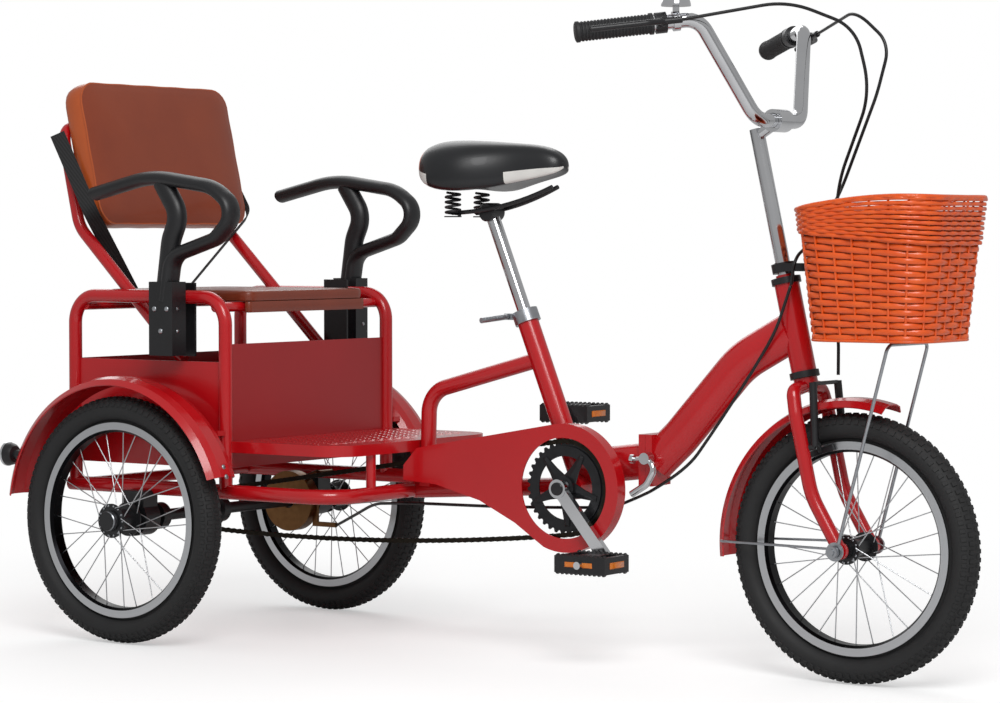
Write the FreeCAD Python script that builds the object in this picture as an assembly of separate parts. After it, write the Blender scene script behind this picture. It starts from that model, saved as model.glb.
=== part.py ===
import FreeCAD, Part
import math
import os
from FreeCAD import Vector

# Folding passenger tricycle: one steered front wheel, two rear wheels, passenger box.
# Millimetres. X forward, Y left, Z up. Origin on the ground, mid-length and mid-width.
# Lengths along X are given from the rear axle and shifted by place().

# ---- driving dimensions ----
WHEELBASE = 1205.0
TRACK = 551.0
TYRE_R = 202.5
TYRE_HALF_W = 24.5
TYRE_SEAT_R = 160.0
RIM_DEPTH = 16.0
RIM_HALF_W = 14.5
RIM_LIP = 2.0
RIM_SLOPE = 1.5
RIM_WELL = 7.0
SPOKES = 28
SPOKE_R = 0.9
CLEAR = 0.3
RUNNING = 0.08

HEAD_TILT = 12.86            # head axis from vertical, degrees
HEAD_X = 1117.3              # where the head axis crosses HEAD_Z
HEAD_Z = 460.0
HEAD_LEN = 134.0
HEAD_R = 19.0
STEERER_R = 14.3
FORK_HALF = 50.0
FORK_LEG_R = 10.5
FRONT_AXLE_R = 5.0

BB_X = 720.0
BB_Z = 273.0
BB_R = 20.0
BB_HALF = 36.0
SPINDLE_R = 8.0
SEAT_TUBE_TILT = 22.2        # from vertical, degrees
SEAT_TUBE_R = 17.0
SEAT_TUBE_LEN = 290.0
SEAT_BORE_LOW = 38.0         # the post bore starts this far above the crank
POST_R = 11.1
POST_LEN = 330.0
POST_OUT = 165.0

MAIN_TUBE_HALF_H = 31.0
MAIN_TUBE_HALF_W = 20.0
HINGE_X = 850.0
HINGE_Z = 320.0
HINGE_H = 80.0
HINGE_W = 46.0
HINGE_PLATE = 12.0
HINGE_PIN_Y = 33.0
HINGE_PIN_R = 5.0
KNUCKLE_R = 10.0

CRANK_LEN = 140.0
CRANK_ANGLE = -50.0          # right arm, degrees above forward
CRANK_PLANE = 67.5
CRANK_THICK = 11.0
CHAIN_Y = -46.0
CHAINRING_R = 73.5
SPROCKET_R = 32.4
CHAIN_HALF_H = 4.3
CHAIN_W = 7.0
CHAIN_SAG_R = 4600.0
GUARD_FACE_Y = -56.0
GUARD_R = 101.0
GUARD_WINDOW_R = 79.0
GUARD_DEPTH = 22.0
GUARD_WALL = 2.0
GUARD_GAP = 4.0
PEDAL_L = 92.0
PEDAL_W = 68.0
PEDAL_T = 26.0
PEDAL_PIN_R = 6.0

BOX_HALF_W = 216.0
BOX_REAR_X = -156.0
BOX_FRONT_X = 170.0
HOOP_TOP_Z = 567.0
HOOP_R = 11.0
HOOP_BEND = 45.0
RAIL_Z = 252.0
RAIL_R = 12.0
RAIL_FRONT_X = 392.0
RAIL_BEND = 60.0
PANEL_T = 2.0
PANEL_LOW_Z = 290.0
FLOOR_T = 3.0
SIDE_PANEL_TOP_Z = 462.0
FRONT_PANEL_TOP_Z = 491.0
DECK_TOP_Z = 334.0
DECK_T = 3.0
DECK_EDGE_H = 18.0
DECK_FRONT_X = 404.5
DECK_HALF_W = 214.0

SEAT_HALF_W = 155.0
SEAT_TOP_Z = 577.0
SEAT_FRONT_X = 170.0
SEAT_REAR_X = -145.0
SEAT_BOARD_T = 18.0
SEAT_LIP_H = 36.0
SEAT_RAIL_R = 8.0

BACK_TILT = 12.8             # from vertical, degrees
BACK_LOW_Z = 688.0
BACK_FACE_X = -114.0
BACK_H = 243.0
BACK_HALF_W = 190.0
BACK_T = 45.0
STRAP_W = 25.0
STRAP_T = 1.6
ARM_PLATE_T = 4.0
POST_R_BACK = 10.0
POST_Y = BOX_HALF_W - HOOP_R - CLEAR - ARM_PLATE_T - CLEAR - POST_R_BACK

AXLE_R = 9.5
HUB_FLANGE_R = 28.0
HUB_CORE_R = 17.0
FENDER_R = 236.0
FENDER_HALF_W = 34.0
FENDER_DROP = 14.0
REFLECTOR_Z = 300.0
SHEET = 1.6

SADDLE_FRONT_X = 688.0
SADDLE_REAR_X = 440.0
SADDLE_HALF_W = 95.0
SADDLE_TOP_Z = 820.0
SADDLE_LOW_Z = 735.0

SHOE_ANGLE = 108.6           # brake shoes round the front wheel, degrees above forward

BAR_R = 11.1
BAR_X = 1071.0
BAR_Z = 840.0
BAR_LOW_Y = 66.0
BAR_HIGH = (1026.0, 158.0, 980.0)
GRIP_OUT = (893.0, 279.0, 965.0)
GRIP_R = 15.0
STEM_R = 11.1
BARREL_LEN = 26.0

# Cable routes from the rear axle, corner by corner, each corner rounded by its bend.
CABLE_R = 2.5
FRONT_CABLE = [(1135, -85, 1012), (1205, -8, 975), (1212, 28, 880), (1133, 72, 745), (1134, 62, 620),
               (1152, 42, 500), (1154, 38, 458)]
FRONT_BENDS = [150.0, 70.0, 150.0, 120.0, 200.0, 100.0]
REAR_CABLE_TOP = [(1150, 95, 1008), (1212, 88, 955), (1195, 80, 880), (1128, 92, 735), (1122, 24, 664),
                  (1118, -32, 634), (1113, -34, 594)]
REAR_TOP_BENDS = [60.0, 45.0, 120.0, 60.0, 60.0, 30.0]
REAR_CABLE_FRAME = [(1112.6, -34.2, 593), (1084, -29, 524), (1008, -25, 416), (918, -14, 306),
                    (852, -12, 271)]
REAR_CABLE_LOW = [(851, -12, 270.5), (790, -18, 244), (560, -22, 234), (392, -18, 231), (290, 24, 222),
                  (97.5, 170, 164)]

BASKET_REAR_X = 1143.0
BASKET_LEN = 236.0
BASKET_HALF_W = 112.0
BASKET_LOW_Z = 512.0
BASKET_H = 213.0
BASKET_TAPER = 20.0
BASKET_WALL = 5.0
BASKET_CORNER = 55.0
BASKET_LIP_H = 60.0

REAR_END_X = -259.0
FRONT_END_X = WHEELBASE + TYRE_R
MID_X = (REAR_END_X + FRONT_END_X) / 2.0

HEAD_DIR = Vector(-math.sin(math.radians(HEAD_TILT)), 0, math.cos(math.radians(HEAD_TILT)))
SEAT_DIR = Vector(-math.sin(math.radians(SEAT_TUBE_TILT)), 0, math.cos(math.radians(SEAT_TUBE_TILT)))
AXIS_Y = Vector(0, 1, 0)


def place(x, y, z):
    """A point given from the rear axle, in the part's frame."""
    return Vector(x - MID_X, y, z)


def head_point(along, y=0.0, ahead=0.0):
    """A point by its distance up the head axis from the lower race, and ahead of it."""
    side = Vector(HEAD_DIR.z, 0, -HEAD_DIR.x)
    return place(HEAD_X, y, HEAD_Z) + HEAD_DIR * along + side * ahead


def seat_point(along, y=0.0):
    """A point up the seat tube from the bottom bracket."""
    return place(BB_X, y, BB_Z) + SEAT_DIR * along


# ---- shape helpers ----
def cylinder(base, direction, radius, length):
    return Part.makeCylinder(radius, length, base, direction)


def between(start, end, radius):
    return cylinder(start, end - start, radius, (end - start).Length)


def block(x0, x1, y0, y1, z0, z1):
    return Part.makeBox(x1 - x0, y1 - y0, z1 - z0, place(x0, y0, z0))


def drum(x, z, y0, y1, radius):
    return cylinder(place(x, y0, z), AXIS_Y, radius, y1 - y0)


def ring(x, z, y0, y1, outer, inner):
    return drum(x, z, y0, y1, outer).cut(drum(x, z, y0 - 1, y1 + 1, inner))


def fuse(shapes):
    result = shapes[0].multiFuse(shapes[1:]).removeSplitter()
    return result.Solids[0] if len(result.Solids) == 1 else result


def path_wire(points, bends):
    """Straight runs joined by tangent arcs, one bend radius for each inner point."""
    edges = []
    start = points[0]
    for index, radius in enumerate(bends, 1):
        corner = points[index]
        into = (corner - points[index - 1]).normalize()
        away = (points[index + 1] - corner).normalize()
        half_turn = into.getAngle(away) / 2.0
        reach = radius * math.tan(half_turn)
        inward = (away - into).normalize()
        arc_start = corner - into * reach
        arc_end = corner + away * reach
        middle = corner + inward * (radius / math.cos(half_turn) - radius)
        if (arc_start - start).Length > 1e-3:
            edges.append(Part.LineSegment(start, arc_start).toShape())
        edges.append(Part.Arc(arc_start, middle, arc_end).toShape())
        start = arc_end
    edges.append(Part.LineSegment(start, points[-1]).toShape())
    return Part.Wire(edges)


def rod(points, radius, bends):
    """A round bar or closed-ended tube along a bent path."""
    if isinstance(bends, (int, float)):
        bends = [bends] * (len(points) - 2)
    profile = Part.Wire(Part.makeCircle(radius, points[0], points[1] - points[0]))
    return path_wire(points, bends).makePipeShell([profile], True, False)


def oval_rod(points, half_h, half_w, bends):
    """A tube of oval section along a path in an X-Z plane."""
    if isinstance(bends, (int, float)):
        bends = [bends] * (len(points) - 2)
    forward = (points[1] - points[0]).normalize()
    major = forward.cross(AXIS_Y) if half_h > half_w else AXIS_Y
    ellipse = Part.Ellipse(
        points[0] + major * max(half_h, half_w),
        points[0] + forward.cross(major) * min(half_h, half_w),
        points[0],
    )
    return path_wire(points, bends).makePipeShell([Part.Wire(ellipse.toShape())], True, False)


def rounded_plate(x0, x1, half_w, z, height, corner):
    """A plate in plan with its two front corners rounded."""
    plate = block(x0, x1, -half_w, half_w, z, z + height)
    upright = [
        edge for edge in plate.Edges
        if abs(edge.Vertexes[0].X - edge.Vertexes[-1].X) < 1e-6
        and abs(edge.Vertexes[0].Y - edge.Vertexes[-1].Y) < 1e-6
        and edge.Vertexes[0].X > place(x1, 0, 0).x - 1e-3
    ]
    return plate.makeFillet(corner, upright)


def mirrored(shape):
    return shape.mirror(Vector(0, 0, 0), AXIS_Y)


def export(name, shape):
    shape.exportStep("parts/" + name + ".step")
    print(name, "valid" if shape.isValid() else "INVALID", len(shape.Solids), round(shape.Volume / 1000.0, 1))


def both_sides(name, shape):
    """Write a right-hand piece and its mirror image."""
    export(name + "_right", shape)
    export(name + "_left", mirrored(shape))


# ---- wheels ----
def revolve(points, x, z, y_centre, angle=360.0, start_angle=0.0):
    """Turn a profile of (side, radius) points about a Y axis through (x, z)."""
    corners = [place(x, y_centre + side, z + radius) for side, radius in points]
    face = Part.Face(Part.makePolygon(corners + corners[:1]))
    face.rotate(place(x, 0, z), AXIS_Y, start_angle)
    return face.revolve(place(x, 0, z), AXIS_Y, angle)


def tyre(x, y):
    middle_r = (TYRE_R + TYRE_SEAT_R) / 2.0
    half_h = TYRE_R - middle_r
    ellipse = Part.Ellipse(
        place(x, y + TYRE_HALF_W, TYRE_R + middle_r),
        place(x, y, TYRE_R + middle_r + half_h),
        place(x, y, TYRE_R + middle_r),
    )
    face = Part.Face(Part.Wire(ellipse.toShape()))
    body = face.revolve(place(x, 0, TYRE_R), AXIS_Y, 360.0)
    bead_half = RIM_HALF_W - RIM_LIP - RIM_SLOPE - CLEAR
    bead = ring(x, TYRE_R, y - bead_half, y + bead_half, TYRE_SEAT_R + 8.0, TYRE_SEAT_R - RIM_WELL + CLEAR)
    return fuse([body, bead])


def rim(x, y):
    outer = TYRE_SEAT_R
    inner = TYRE_SEAT_R - RIM_DEPTH
    lip = RIM_HALF_W - RIM_LIP
    well = outer - RIM_WELL
    profile = [
        (-RIM_HALF_W, outer), (-lip, outer), (-lip + RIM_SLOPE, well), (lip - RIM_SLOPE, well),
        (lip, outer), (RIM_HALF_W, outer), (RIM_HALF_W, inner + 4), (RIM_HALF_W - 5, inner),
        (-RIM_HALF_W + 5, inner), (-RIM_HALF_W, inner + 4),
    ]
    return revolve(profile, x, TYRE_R, y)


def spokes(x, rim_y, flange_ys, flange_r):
    """Crossed spokes from two flanges to the rim, none touching another."""
    solids = []
    for index in range(SPOKES):
        side = index % 2
        lead = (index // 2) % 2
        rim_angle = 2 * math.pi * index / SPOKES
        swing = math.radians(38.0) * (1 if lead else -1)
        hub_angle = rim_angle + swing
        outward = 1 if side else -1
        hub_y = flange_ys[side] + outward * (3.4 if lead else -2.0)
        hub_r = flange_r - 4.0
        end_r = TYRE_SEAT_R - RIM_DEPTH - 0.2
        end_y = rim_y + (3.0 if side else -3.0)
        start = place(x + hub_r * math.cos(hub_angle), hub_y, TYRE_R + hub_r * math.sin(hub_angle))
        end = place(x + end_r * math.cos(rim_angle), end_y, TYRE_R + end_r * math.sin(rim_angle))
        solids.append(between(start, end, SPOKE_R))
    return solids


def hub(x, y0, y1, flange_ys, flange_r, core_r, bore_r):
    body = [drum(x, TYRE_R, y0, y1, core_r)]
    for flange_y in flange_ys:
        body.append(drum(x, TYRE_R, flange_y - 1.0, flange_y + 1.0, flange_r))
    return fuse(body).cut(drum(x, TYRE_R, y0 - 1, y1 + 1, bore_r))


def write_wheel(name, x, y, hub_y0, hub_y1, flange_ys, flange_r, core_r, bore_r):
    export(name + "_tyre", tyre(x, y))
    wires = spokes(x, y, flange_ys, flange_r)
    export(name + "_rim", Part.makeCompound([rim(x, y)] + wires))
    export(name + "_hub", hub(x, hub_y0, hub_y1, flange_ys, flange_r, core_r, bore_r))


FRONT_FLANGES = (-29.0, 29.0)
FRONT_HUB_HALF = FORK_HALF - 12.0


def write_wheels():
    write_wheel("front", WHEELBASE, 0.0, -FRONT_HUB_HALF, FRONT_HUB_HALF, FRONT_FLANGES,
                22.0, 13.0, FRONT_AXLE_R + RUNNING)
    half = TRACK / 2.0
    out_y, in_y = half + 31.0, half - 17.0
    write_wheel("rear_right", 0.0, -half, -out_y, -in_y, (-half - 27.0, -half + 13.0),
                HUB_FLANGE_R, HUB_CORE_R, AXLE_R + RUNNING)
    write_wheel("rear_left", 0.0, half, in_y, out_y, (half - 13.0, half + 27.0),
                HUB_FLANGE_R, HUB_CORE_R, AXLE_R + CLEAR)


# ---- rear axle, bearings and brake ----
BEARING_Y0 = 214.0
BEARING_Y1 = 249.0
BRAKE_Y = 170.0
BRAKE_R = 51.0


def rear_axle():
    half = TRACK / 2.0
    end = half + 40.0
    shaft = drum(0, TYRE_R, -end, end, AXLE_R)
    pieces = [shaft]
    pieces.append(drum(0, TYRE_R, -end, -half - 31.5, 15.0))
    pieces.append(drum(0, TYRE_R, half + 31.5, end, 15.0))
    pieces.append(drum(0, TYRE_R, -196.0, -178.0, 22.0))
    pieces.append(drum(0, TYRE_R, CHAIN_Y - 1.6, CHAIN_Y + 1.6, SPROCKET_R - CHAIN_HALF_H - CLEAR))
    pieces.append(drum(0, TYRE_R, CHAIN_Y + 1.6, CHAIN_Y + 22.0, 22.0))
    pieces.append(drum(0, TYRE_R, BRAKE_Y - 10.0, BRAKE_Y + 10.0, BRAKE_R - 4.0))
    return fuse(pieces)


def axle_bearings(rails):
    solids = []
    for side in (-1, 1):
        y0, y1 = sorted((side * BEARING_Y0, side * BEARING_Y1))
        housing = fuse([
            drum(0, TYRE_R, y0, y1, 29.0),
            block(-22, 22, y0, y1, TYRE_R, RAIL_Z - 4),
        ])
        housing = housing.cut(drum(0, TYRE_R, y0 - 1, y1 + 1, AXLE_R + RUNNING))
        solids.append(housing.cut(rails))
    return Part.makeCompound(solids)


def band_brake(rails):
    band = ring(0, TYRE_R, BRAKE_Y - 9.0, BRAKE_Y + 9.0, BRAKE_R, BRAKE_R - 3.0)
    cover = ring(0, TYRE_R, BRAKE_Y - 14.0, BRAKE_Y - 11.0, BRAKE_R, AXLE_R + 3.0)
    wall = ring(0, TYRE_R, BRAKE_Y - 14.0, BRAKE_Y + 9.0, BRAKE_R + 1.5, BRAKE_R)
    torque_arm = between(place(30, BRAKE_Y - 4, TYRE_R + 40), place(60, BRAKE_Y - 4, RAIL_Z + 2), 6.0)
    cross = between(place(60, BRAKE_Y - 4, RAIL_Z), place(60, BOX_HALF_W, RAIL_Z), 6.0)
    lever = fuse([
        block(46, 56, BRAKE_Y - 3, BRAKE_Y + 3, 160, 210),
        block(56, 96, BRAKE_Y - 3, BRAKE_Y + 3, 160, 168),
    ])
    body = fuse([band, cover, wall, torque_arm, cross, lever]).cut(rails)
    return body.cut(drum(0, TYRE_R, BRAKE_Y - 11.0, BRAKE_Y + 20.0, BRAKE_R - 3.0))


# ---- rear frame ----
def lower_frame():
    y = BOX_HALF_W
    loop = rod([
        place(BOX_REAR_X - HOOP_R, -y, RAIL_Z), place(RAIL_FRONT_X, -y, RAIL_Z),
        place(RAIL_FRONT_X, y, RAIL_Z), place(BOX_REAR_X - HOOP_R, y, RAIL_Z),
    ], RAIL_R, RAIL_BEND)
    pieces = [loop]
    pieces.append(drum(BOX_REAR_X + 20.0, RAIL_Z, -y, y, RAIL_R - 2.0))
    for side in (-1, 1):
        pieces.append(cylinder(place(RAIL_FRONT_X, side * 120.0, RAIL_Z), Vector(0, 0, 1),
                               8.0, DECK_TOP_Z - DECK_T - RAIL_Z))
    return fuse(pieces)


def seat_frame(rails):
    seat_tube = cylinder(seat_point(0), SEAT_DIR, SEAT_TUBE_R, SEAT_TUBE_LEN)
    shell = drum(BB_X, BB_Z, -BB_HALF, BB_HALF, BB_R)
    stub = oval_rod([place(BB_X + 4, 0, BB_Z + 30), place(HINGE_X - HINGE_PLATE + 4, 0, HINGE_Z - 2)],
                    MAIN_TUBE_HALF_H - 3, MAIN_TUBE_HALF_W - 1, [])
    beam = between(place(BB_X, 0, BB_Z), place(RAIL_FRONT_X, 0, RAIL_Z), 14.0)
    brace_top = seat_point(214.0)
    brace = rod([place(RAIL_FRONT_X + RAIL_R + 13.0, 0, RAIL_Z),
                 place(RAIL_FRONT_X + RAIL_R + 17.0, 0, 412.0), brace_top], 12.7, 45.0)
    plate = block(HINGE_X - HINGE_PLATE, HINGE_X - 0.2, -HINGE_W / 2, HINGE_W / 2,
                  HINGE_Z - HINGE_H / 2, HINGE_Z + HINGE_H / 2)
    ahead = block(HINGE_X - 0.2, HINGE_X + 60, -60, 60, HINGE_Z - 90, HINGE_Z + 90)
    body = fuse([seat_tube, shell, stub.cut(ahead), beam, brace, plate])
    body = body.cut(drum(BB_X, BB_Z, -BB_HALF - 1, BB_HALF + 1, SPINDLE_R + RUNNING))
    body = body.cut(cylinder(seat_point(SEAT_BORE_LOW), SEAT_DIR, POST_R + RUNNING, SEAT_TUBE_LEN))
    body = body.cut(rails)
    return fuse([body] + rear_knuckles())


def knuckle(z0, z1, toward):
    """A hinge knuckle round the pin, with its leaf back to the plate."""
    eye = cylinder(place(HINGE_X, HINGE_PIN_Y, z0), Vector(0, 0, 1), KNUCKLE_R, z1 - z0)
    if toward < 0:
        leaf = block(HINGE_X - HINGE_PLATE, HINGE_X - 0.2, 0, HINGE_PIN_Y, z0, z1)
    else:
        leaf = block(HINGE_X + 0.2, HINGE_X + HINGE_PLATE, 0, HINGE_PIN_Y, z0, z1)
    return fuse([eye, leaf])


def rear_knuckles():
    low, high = HINGE_Z - HINGE_H / 2, HINGE_Z + HINGE_H / 2
    pin = cylinder(place(HINGE_X, HINGE_PIN_Y, low), Vector(0, 0, 1), HINGE_PIN_R, HINGE_H)
    third = HINGE_H / 3
    return [knuckle(low, low + third, -1), knuckle(high - third, high, -1), pin]


def side_hoop(rails):
    y = -BOX_HALF_W
    hoop = rod([
        place(BOX_REAR_X, y, RAIL_Z), place(BOX_REAR_X, y, HOOP_TOP_Z),
        place(BOX_FRONT_X, y, HOOP_TOP_Z), place(BOX_FRONT_X, y, RAIL_Z),
    ], HOOP_R, HOOP_BEND)
    return hoop.cut(rails)


def side_panel():
    y = -BOX_HALF_W
    return block(BOX_REAR_X + HOOP_R + CLEAR, BOX_FRONT_X - HOOP_R - CLEAR,
                 y - PANEL_T / 2, y + PANEL_T / 2, PANEL_LOW_Z, SIDE_PANEL_TOP_Z)


def end_panel(x, low_z, top_z):
    half = BOX_HALF_W - HOOP_R - CLEAR
    return block(x - PANEL_T / 2, x + PANEL_T / 2, -half, half, low_z, top_z)


def box_floor():
    half = BOX_HALF_W - PANEL_T / 2 - CLEAR
    inset = PANEL_T / 2 + CLEAR
    floor = block(BOX_REAR_X + inset, BOX_FRONT_X - inset, -half, half, PANEL_LOW_Z, PANEL_LOW_Z + FLOOR_T)
    for x in (BOX_REAR_X, BOX_FRONT_X):
        for side in (-1, 1):
            post = cylinder(place(x, side * BOX_HALF_W, PANEL_LOW_Z - 5), Vector(0, 0, 1), HOOP_R + CLEAR, 20)
            floor = floor.cut(post)
    return floor


def footboard():
    x0 = BOX_FRONT_X + HOOP_R + CLEAR
    outer = rounded_plate(x0, DECK_FRONT_X, DECK_HALF_W, DECK_TOP_Z - DECK_EDGE_H, DECK_EDGE_H, 58.0)
    hollow = rounded_plate(x0 - 5, DECK_FRONT_X - 2, DECK_HALF_W - 2, DECK_TOP_Z - DECK_EDGE_H - 1,
                           DECK_EDGE_H - DECK_T + 1, 56.0)
    return outer.cut(hollow)


def passenger_frame(hoops):
    """Cross rails under the passenger board and the bent back posts."""
    rail_z = SEAT_TOP_Z - SEAT_BOARD_T - SEAT_RAIL_R - CLEAR
    pieces = []
    for x in (BOX_FRONT_X - 22.0, BOX_REAR_X + 22.0):
        pieces.append(drum(x, rail_z, -BOX_HALF_W, BOX_HALF_W, SEAT_RAIL_R))
    back_dir = Vector(-math.sin(math.radians(BACK_TILT)), 0, math.cos(math.radians(BACK_TILT)))
    behind = BACK_T / math.cos(math.radians(BACK_TILT)) + HOOP_R + 0.2
    bend = place(BACK_FACE_X - behind + 2, -POST_Y, BACK_LOW_Z - 6)
    top = bend + back_dir * (BACK_H - 70)
    foot = place(60.0, -POST_Y, 462.0)
    pieces.append(rod([foot, bend, top, mirror_point(top), mirror_point(bend), mirror_point(foot)],
                      POST_R_BACK, [60.0, 30.0, 30.0, 60.0]))
    return Part.makeCompound([piece.cut(hoops) for piece in pieces])


def mirror_point(point):
    return Vector(point.x, -point.y, point.z)


def passenger_seat():
    top = block(SEAT_REAR_X, SEAT_FRONT_X, -SEAT_HALF_W, SEAT_HALF_W, SEAT_TOP_Z - SEAT_BOARD_T, SEAT_TOP_Z)
    lip = block(SEAT_FRONT_X - 11, SEAT_FRONT_X, -SEAT_HALF_W, SEAT_HALF_W,
                SEAT_TOP_Z - SEAT_LIP_H, SEAT_TOP_Z - SEAT_BOARD_T)
    return fuse([top, lip])


def backrest_cushion():
    pad = Part.makeBox(BACK_T, 2 * BACK_HALF_W, BACK_H, Vector(-BACK_T, -BACK_HALF_W, 0))
    along_x = [edge for edge in pad.Edges if abs(edge.Vertexes[0].X - edge.Vertexes[1].X) > 1]
    pad = pad.makeFillet(32.0, along_x)
    pad.rotate(Vector(0, 0, 0), AXIS_Y, -BACK_TILT)
    pad.translate(place(BACK_FACE_X, 0, BACK_LOW_Z))
    return pad


def webbing(points, bend):
    """A flat strap along three points, its width square to their plane."""
    into = (points[1] - points[0]).normalize()
    across = into.cross((points[2] - points[1]).normalize()).normalize()
    out = across.cross(into)
    edge, skin = across * (STRAP_W / 2), out * (STRAP_T / 2)
    start = points[0]
    corners = [start + edge + skin, start - edge + skin, start - edge - skin, start + edge - skin]
    profile = Part.makePolygon(corners + corners[:1])
    return path_wire(points, [bend]).makePipeShell([profile], True, False)


def harness_straps():
    """Two straps from the back posts down to the rear edge of the passenger board."""
    side_y = POST_Y + POST_R_BACK + 4.0
    right = webbing([place(-206, -side_y, 838), place(-127, -side_y - 4, 705),
                     place(SEAT_REAR_X - STRAP_W / 2 - 1.0, -72, SEAT_TOP_Z - 6.0)], 24.0)
    return Part.makeCompound([right, mirrored(right)])


ARM_Y = -244.0
ARM_BASE_X = 71.0
ARM_BASE_W = 50.0


def arm_point(x, z):
    return place(x, ARM_Y, z)


def armrest(hoop):
    """Moulded office-type arm: a top pad looping forward and down to its base."""
    loop = oval_rod([arm_point(-84, 736), arm_point(40, 764), arm_point(170, 745), arm_point(222, 706),
                     arm_point(176, 662), arm_point(84, 634), arm_point(72, 560)], 11.5, 19.0,
                    [220.0, 80.0, 30.0, 34.0, 34.0])
    strut = oval_rod([arm_point(70, 590), arm_point(80, 660), arm_point(98, 700), arm_point(62, 754)],
                     17.0, 15.0, [60.0, 40.0])
    outer = -BOX_HALF_W - HOOP_R
    base = block(ARM_BASE_X - ARM_BASE_W / 2, ARM_BASE_X + ARM_BASE_W / 2, outer - 34, outer - CLEAR, 472, 592)
    return fuse([loop, strut, base]).cut(hoop)


def armrest_bracket():
    """Steel plate behind the arm's base, inside the hoop, with its three bolts."""
    outer = -BOX_HALF_W + HOOP_R + CLEAR
    return block(ARM_BASE_X - 25, ARM_BASE_X + 25, outer, outer + ARM_PLATE_T, 470, 590)


def rear_fender():
    y = -TRACK / 2.0
    profile = fender_profile(FENDER_R, FENDER_HALF_W, FENDER_DROP)
    shell = revolve(profile, 0.0, TYRE_R, y, 152.0, -82.0)
    edge_r = FENDER_R - FENDER_DROP
    edge_y = y + FENDER_HALF_W
    brackets = []
    for x in (BOX_REAR_X, BOX_FRONT_X):
        edge_z = TYRE_R + math.sqrt(edge_r ** 2 - x ** 2)
        brackets.append(block(x - 8, x + 8, edge_y - 4.0, -BOX_HALF_W - HOOP_R - CLEAR, edge_z - 1, edge_z + 7))
    return fuse([shell] + brackets)


def fender_profile(crown_r, half_w, drop):
    outer = [(-half_w, crown_r - drop), (-half_w * 0.75, crown_r - drop * 0.35), (-half_w * 0.35, crown_r - 1.0),
             (half_w * 0.35, crown_r - 1.0), (half_w * 0.75, crown_r - drop * 0.35), (half_w, crown_r - drop)]
    inner = [(side * (1 - SHEET / half_w), radius - SHEET) for side, radius in reversed(outer)]
    return outer + inner


def rear_reflectors():
    solids = []
    for side in (-1, 1):
        y = side * TRACK / 2.0
        dome = between(place(REAR_END_X + 20.0, y, REFLECTOR_Z), place(REAR_END_X, y, REFLECTOR_Z), 19.0)
        neck = between(place(REAR_END_X + 60.0, y, REFLECTOR_Z), place(REAR_END_X, y, REFLECTOR_Z), 8.0)
        crown = drum(0, TYRE_R, y - FENDER_HALF_W, y + FENDER_HALF_W, FENDER_R - 1.0 + CLEAR)
        solids.append(fuse([dome, neck]).cut(crown))
    return Part.makeCompound(solids)


# ---- chain drive ----
def chain_loop(offset):
    """Closed wire round chainring and sprocket, with a slack lower run."""
    ring_c = place(BB_X, CHAIN_Y, BB_Z)
    small_c = place(0, CHAIN_Y, TYRE_R)
    big, small = CHAINRING_R, SPROCKET_R
    span = ring_c - small_c
    length = span.Length
    unit = span * (1.0 / length)
    up = Vector(-unit.z, 0, unit.x)
    lean = (small - big) / length
    normal = up * math.sqrt(1 - lean * lean) + unit * lean
    top_small = small_c + normal * (small + offset)
    top_big = ring_c + normal * (big + offset)
    d_small, d_big = CHAIN_SAG_R - small, CHAIN_SAG_R - big
    along = (d_small ** 2 - d_big ** 2 + length ** 2) / (2 * length)
    height = math.sqrt(d_small ** 2 - along ** 2)
    sag_c = small_c + unit * along + up * height
    to_small = (small_c - sag_c).normalize()
    to_big = (ring_c - sag_c).normalize()
    low_small = small_c + to_small * (small + offset)
    low_big = ring_c + to_big * (big + offset)
    low_mid = sag_c + (to_small + to_big).normalize() * (CHAIN_SAG_R + offset)
    back = small_c - unit * (small + offset)
    front = ring_c + unit * (big + offset)
    return Part.Wire([
        Part.LineSegment(top_small, top_big).toShape(),
        Part.Arc(top_big, front, low_big).toShape(),
        Part.Arc(low_big, low_mid, low_small).toShape(),
        Part.Arc(low_small, back, top_small).toShape(),
    ])


def chain_band(half_h, width):
    """The chain's loop as a solid band."""
    outer = Part.Face(chain_loop(half_h)).extrude(Vector(0, width, 0))
    inner = Part.Face(chain_loop(-half_h)).extrude(Vector(0, width, 0))
    loop = outer.cut(inner)
    loop.translate(Vector(0, -width / 2, 0))
    return loop


def drive_chain():
    return chain_band(CHAIN_HALF_H, CHAIN_W)


def guard_outline(inset):
    """Guard shape in the X-Z plane: round at the crank, long tail to the rear."""
    reach = GUARD_R - inset
    top_dir, low_dir = math.radians(100.0), math.radians(-112.0)
    top = (BB_X + reach * math.cos(top_dir), BB_Z + reach * math.sin(top_dir))
    low = (BB_X + reach * math.cos(low_dir), BB_Z + reach * math.sin(low_dir))
    front = (BB_X + reach, BB_Z)
    tail = [(436.0 + inset, 325.0 - inset), (409.0 + inset, 296.0), (409.0 + inset, 272.0 + inset)]
    belly = [(472.0, 268.0 + inset), (560.0, 246.0 + inset), (628.0, 214.0 + inset)]
    point = lambda pair: place(pair[0], 0, pair[1])
    edges = [Part.Arc(point(low), point(front), point(top)).toShape()]
    chain = [top] + tail + belly + [low]
    for start, end in zip(chain[:-1], chain[1:]):
        edges.append(Part.LineSegment(point(start), point(end)).toShape())
    return Part.Wire(edges)


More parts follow.
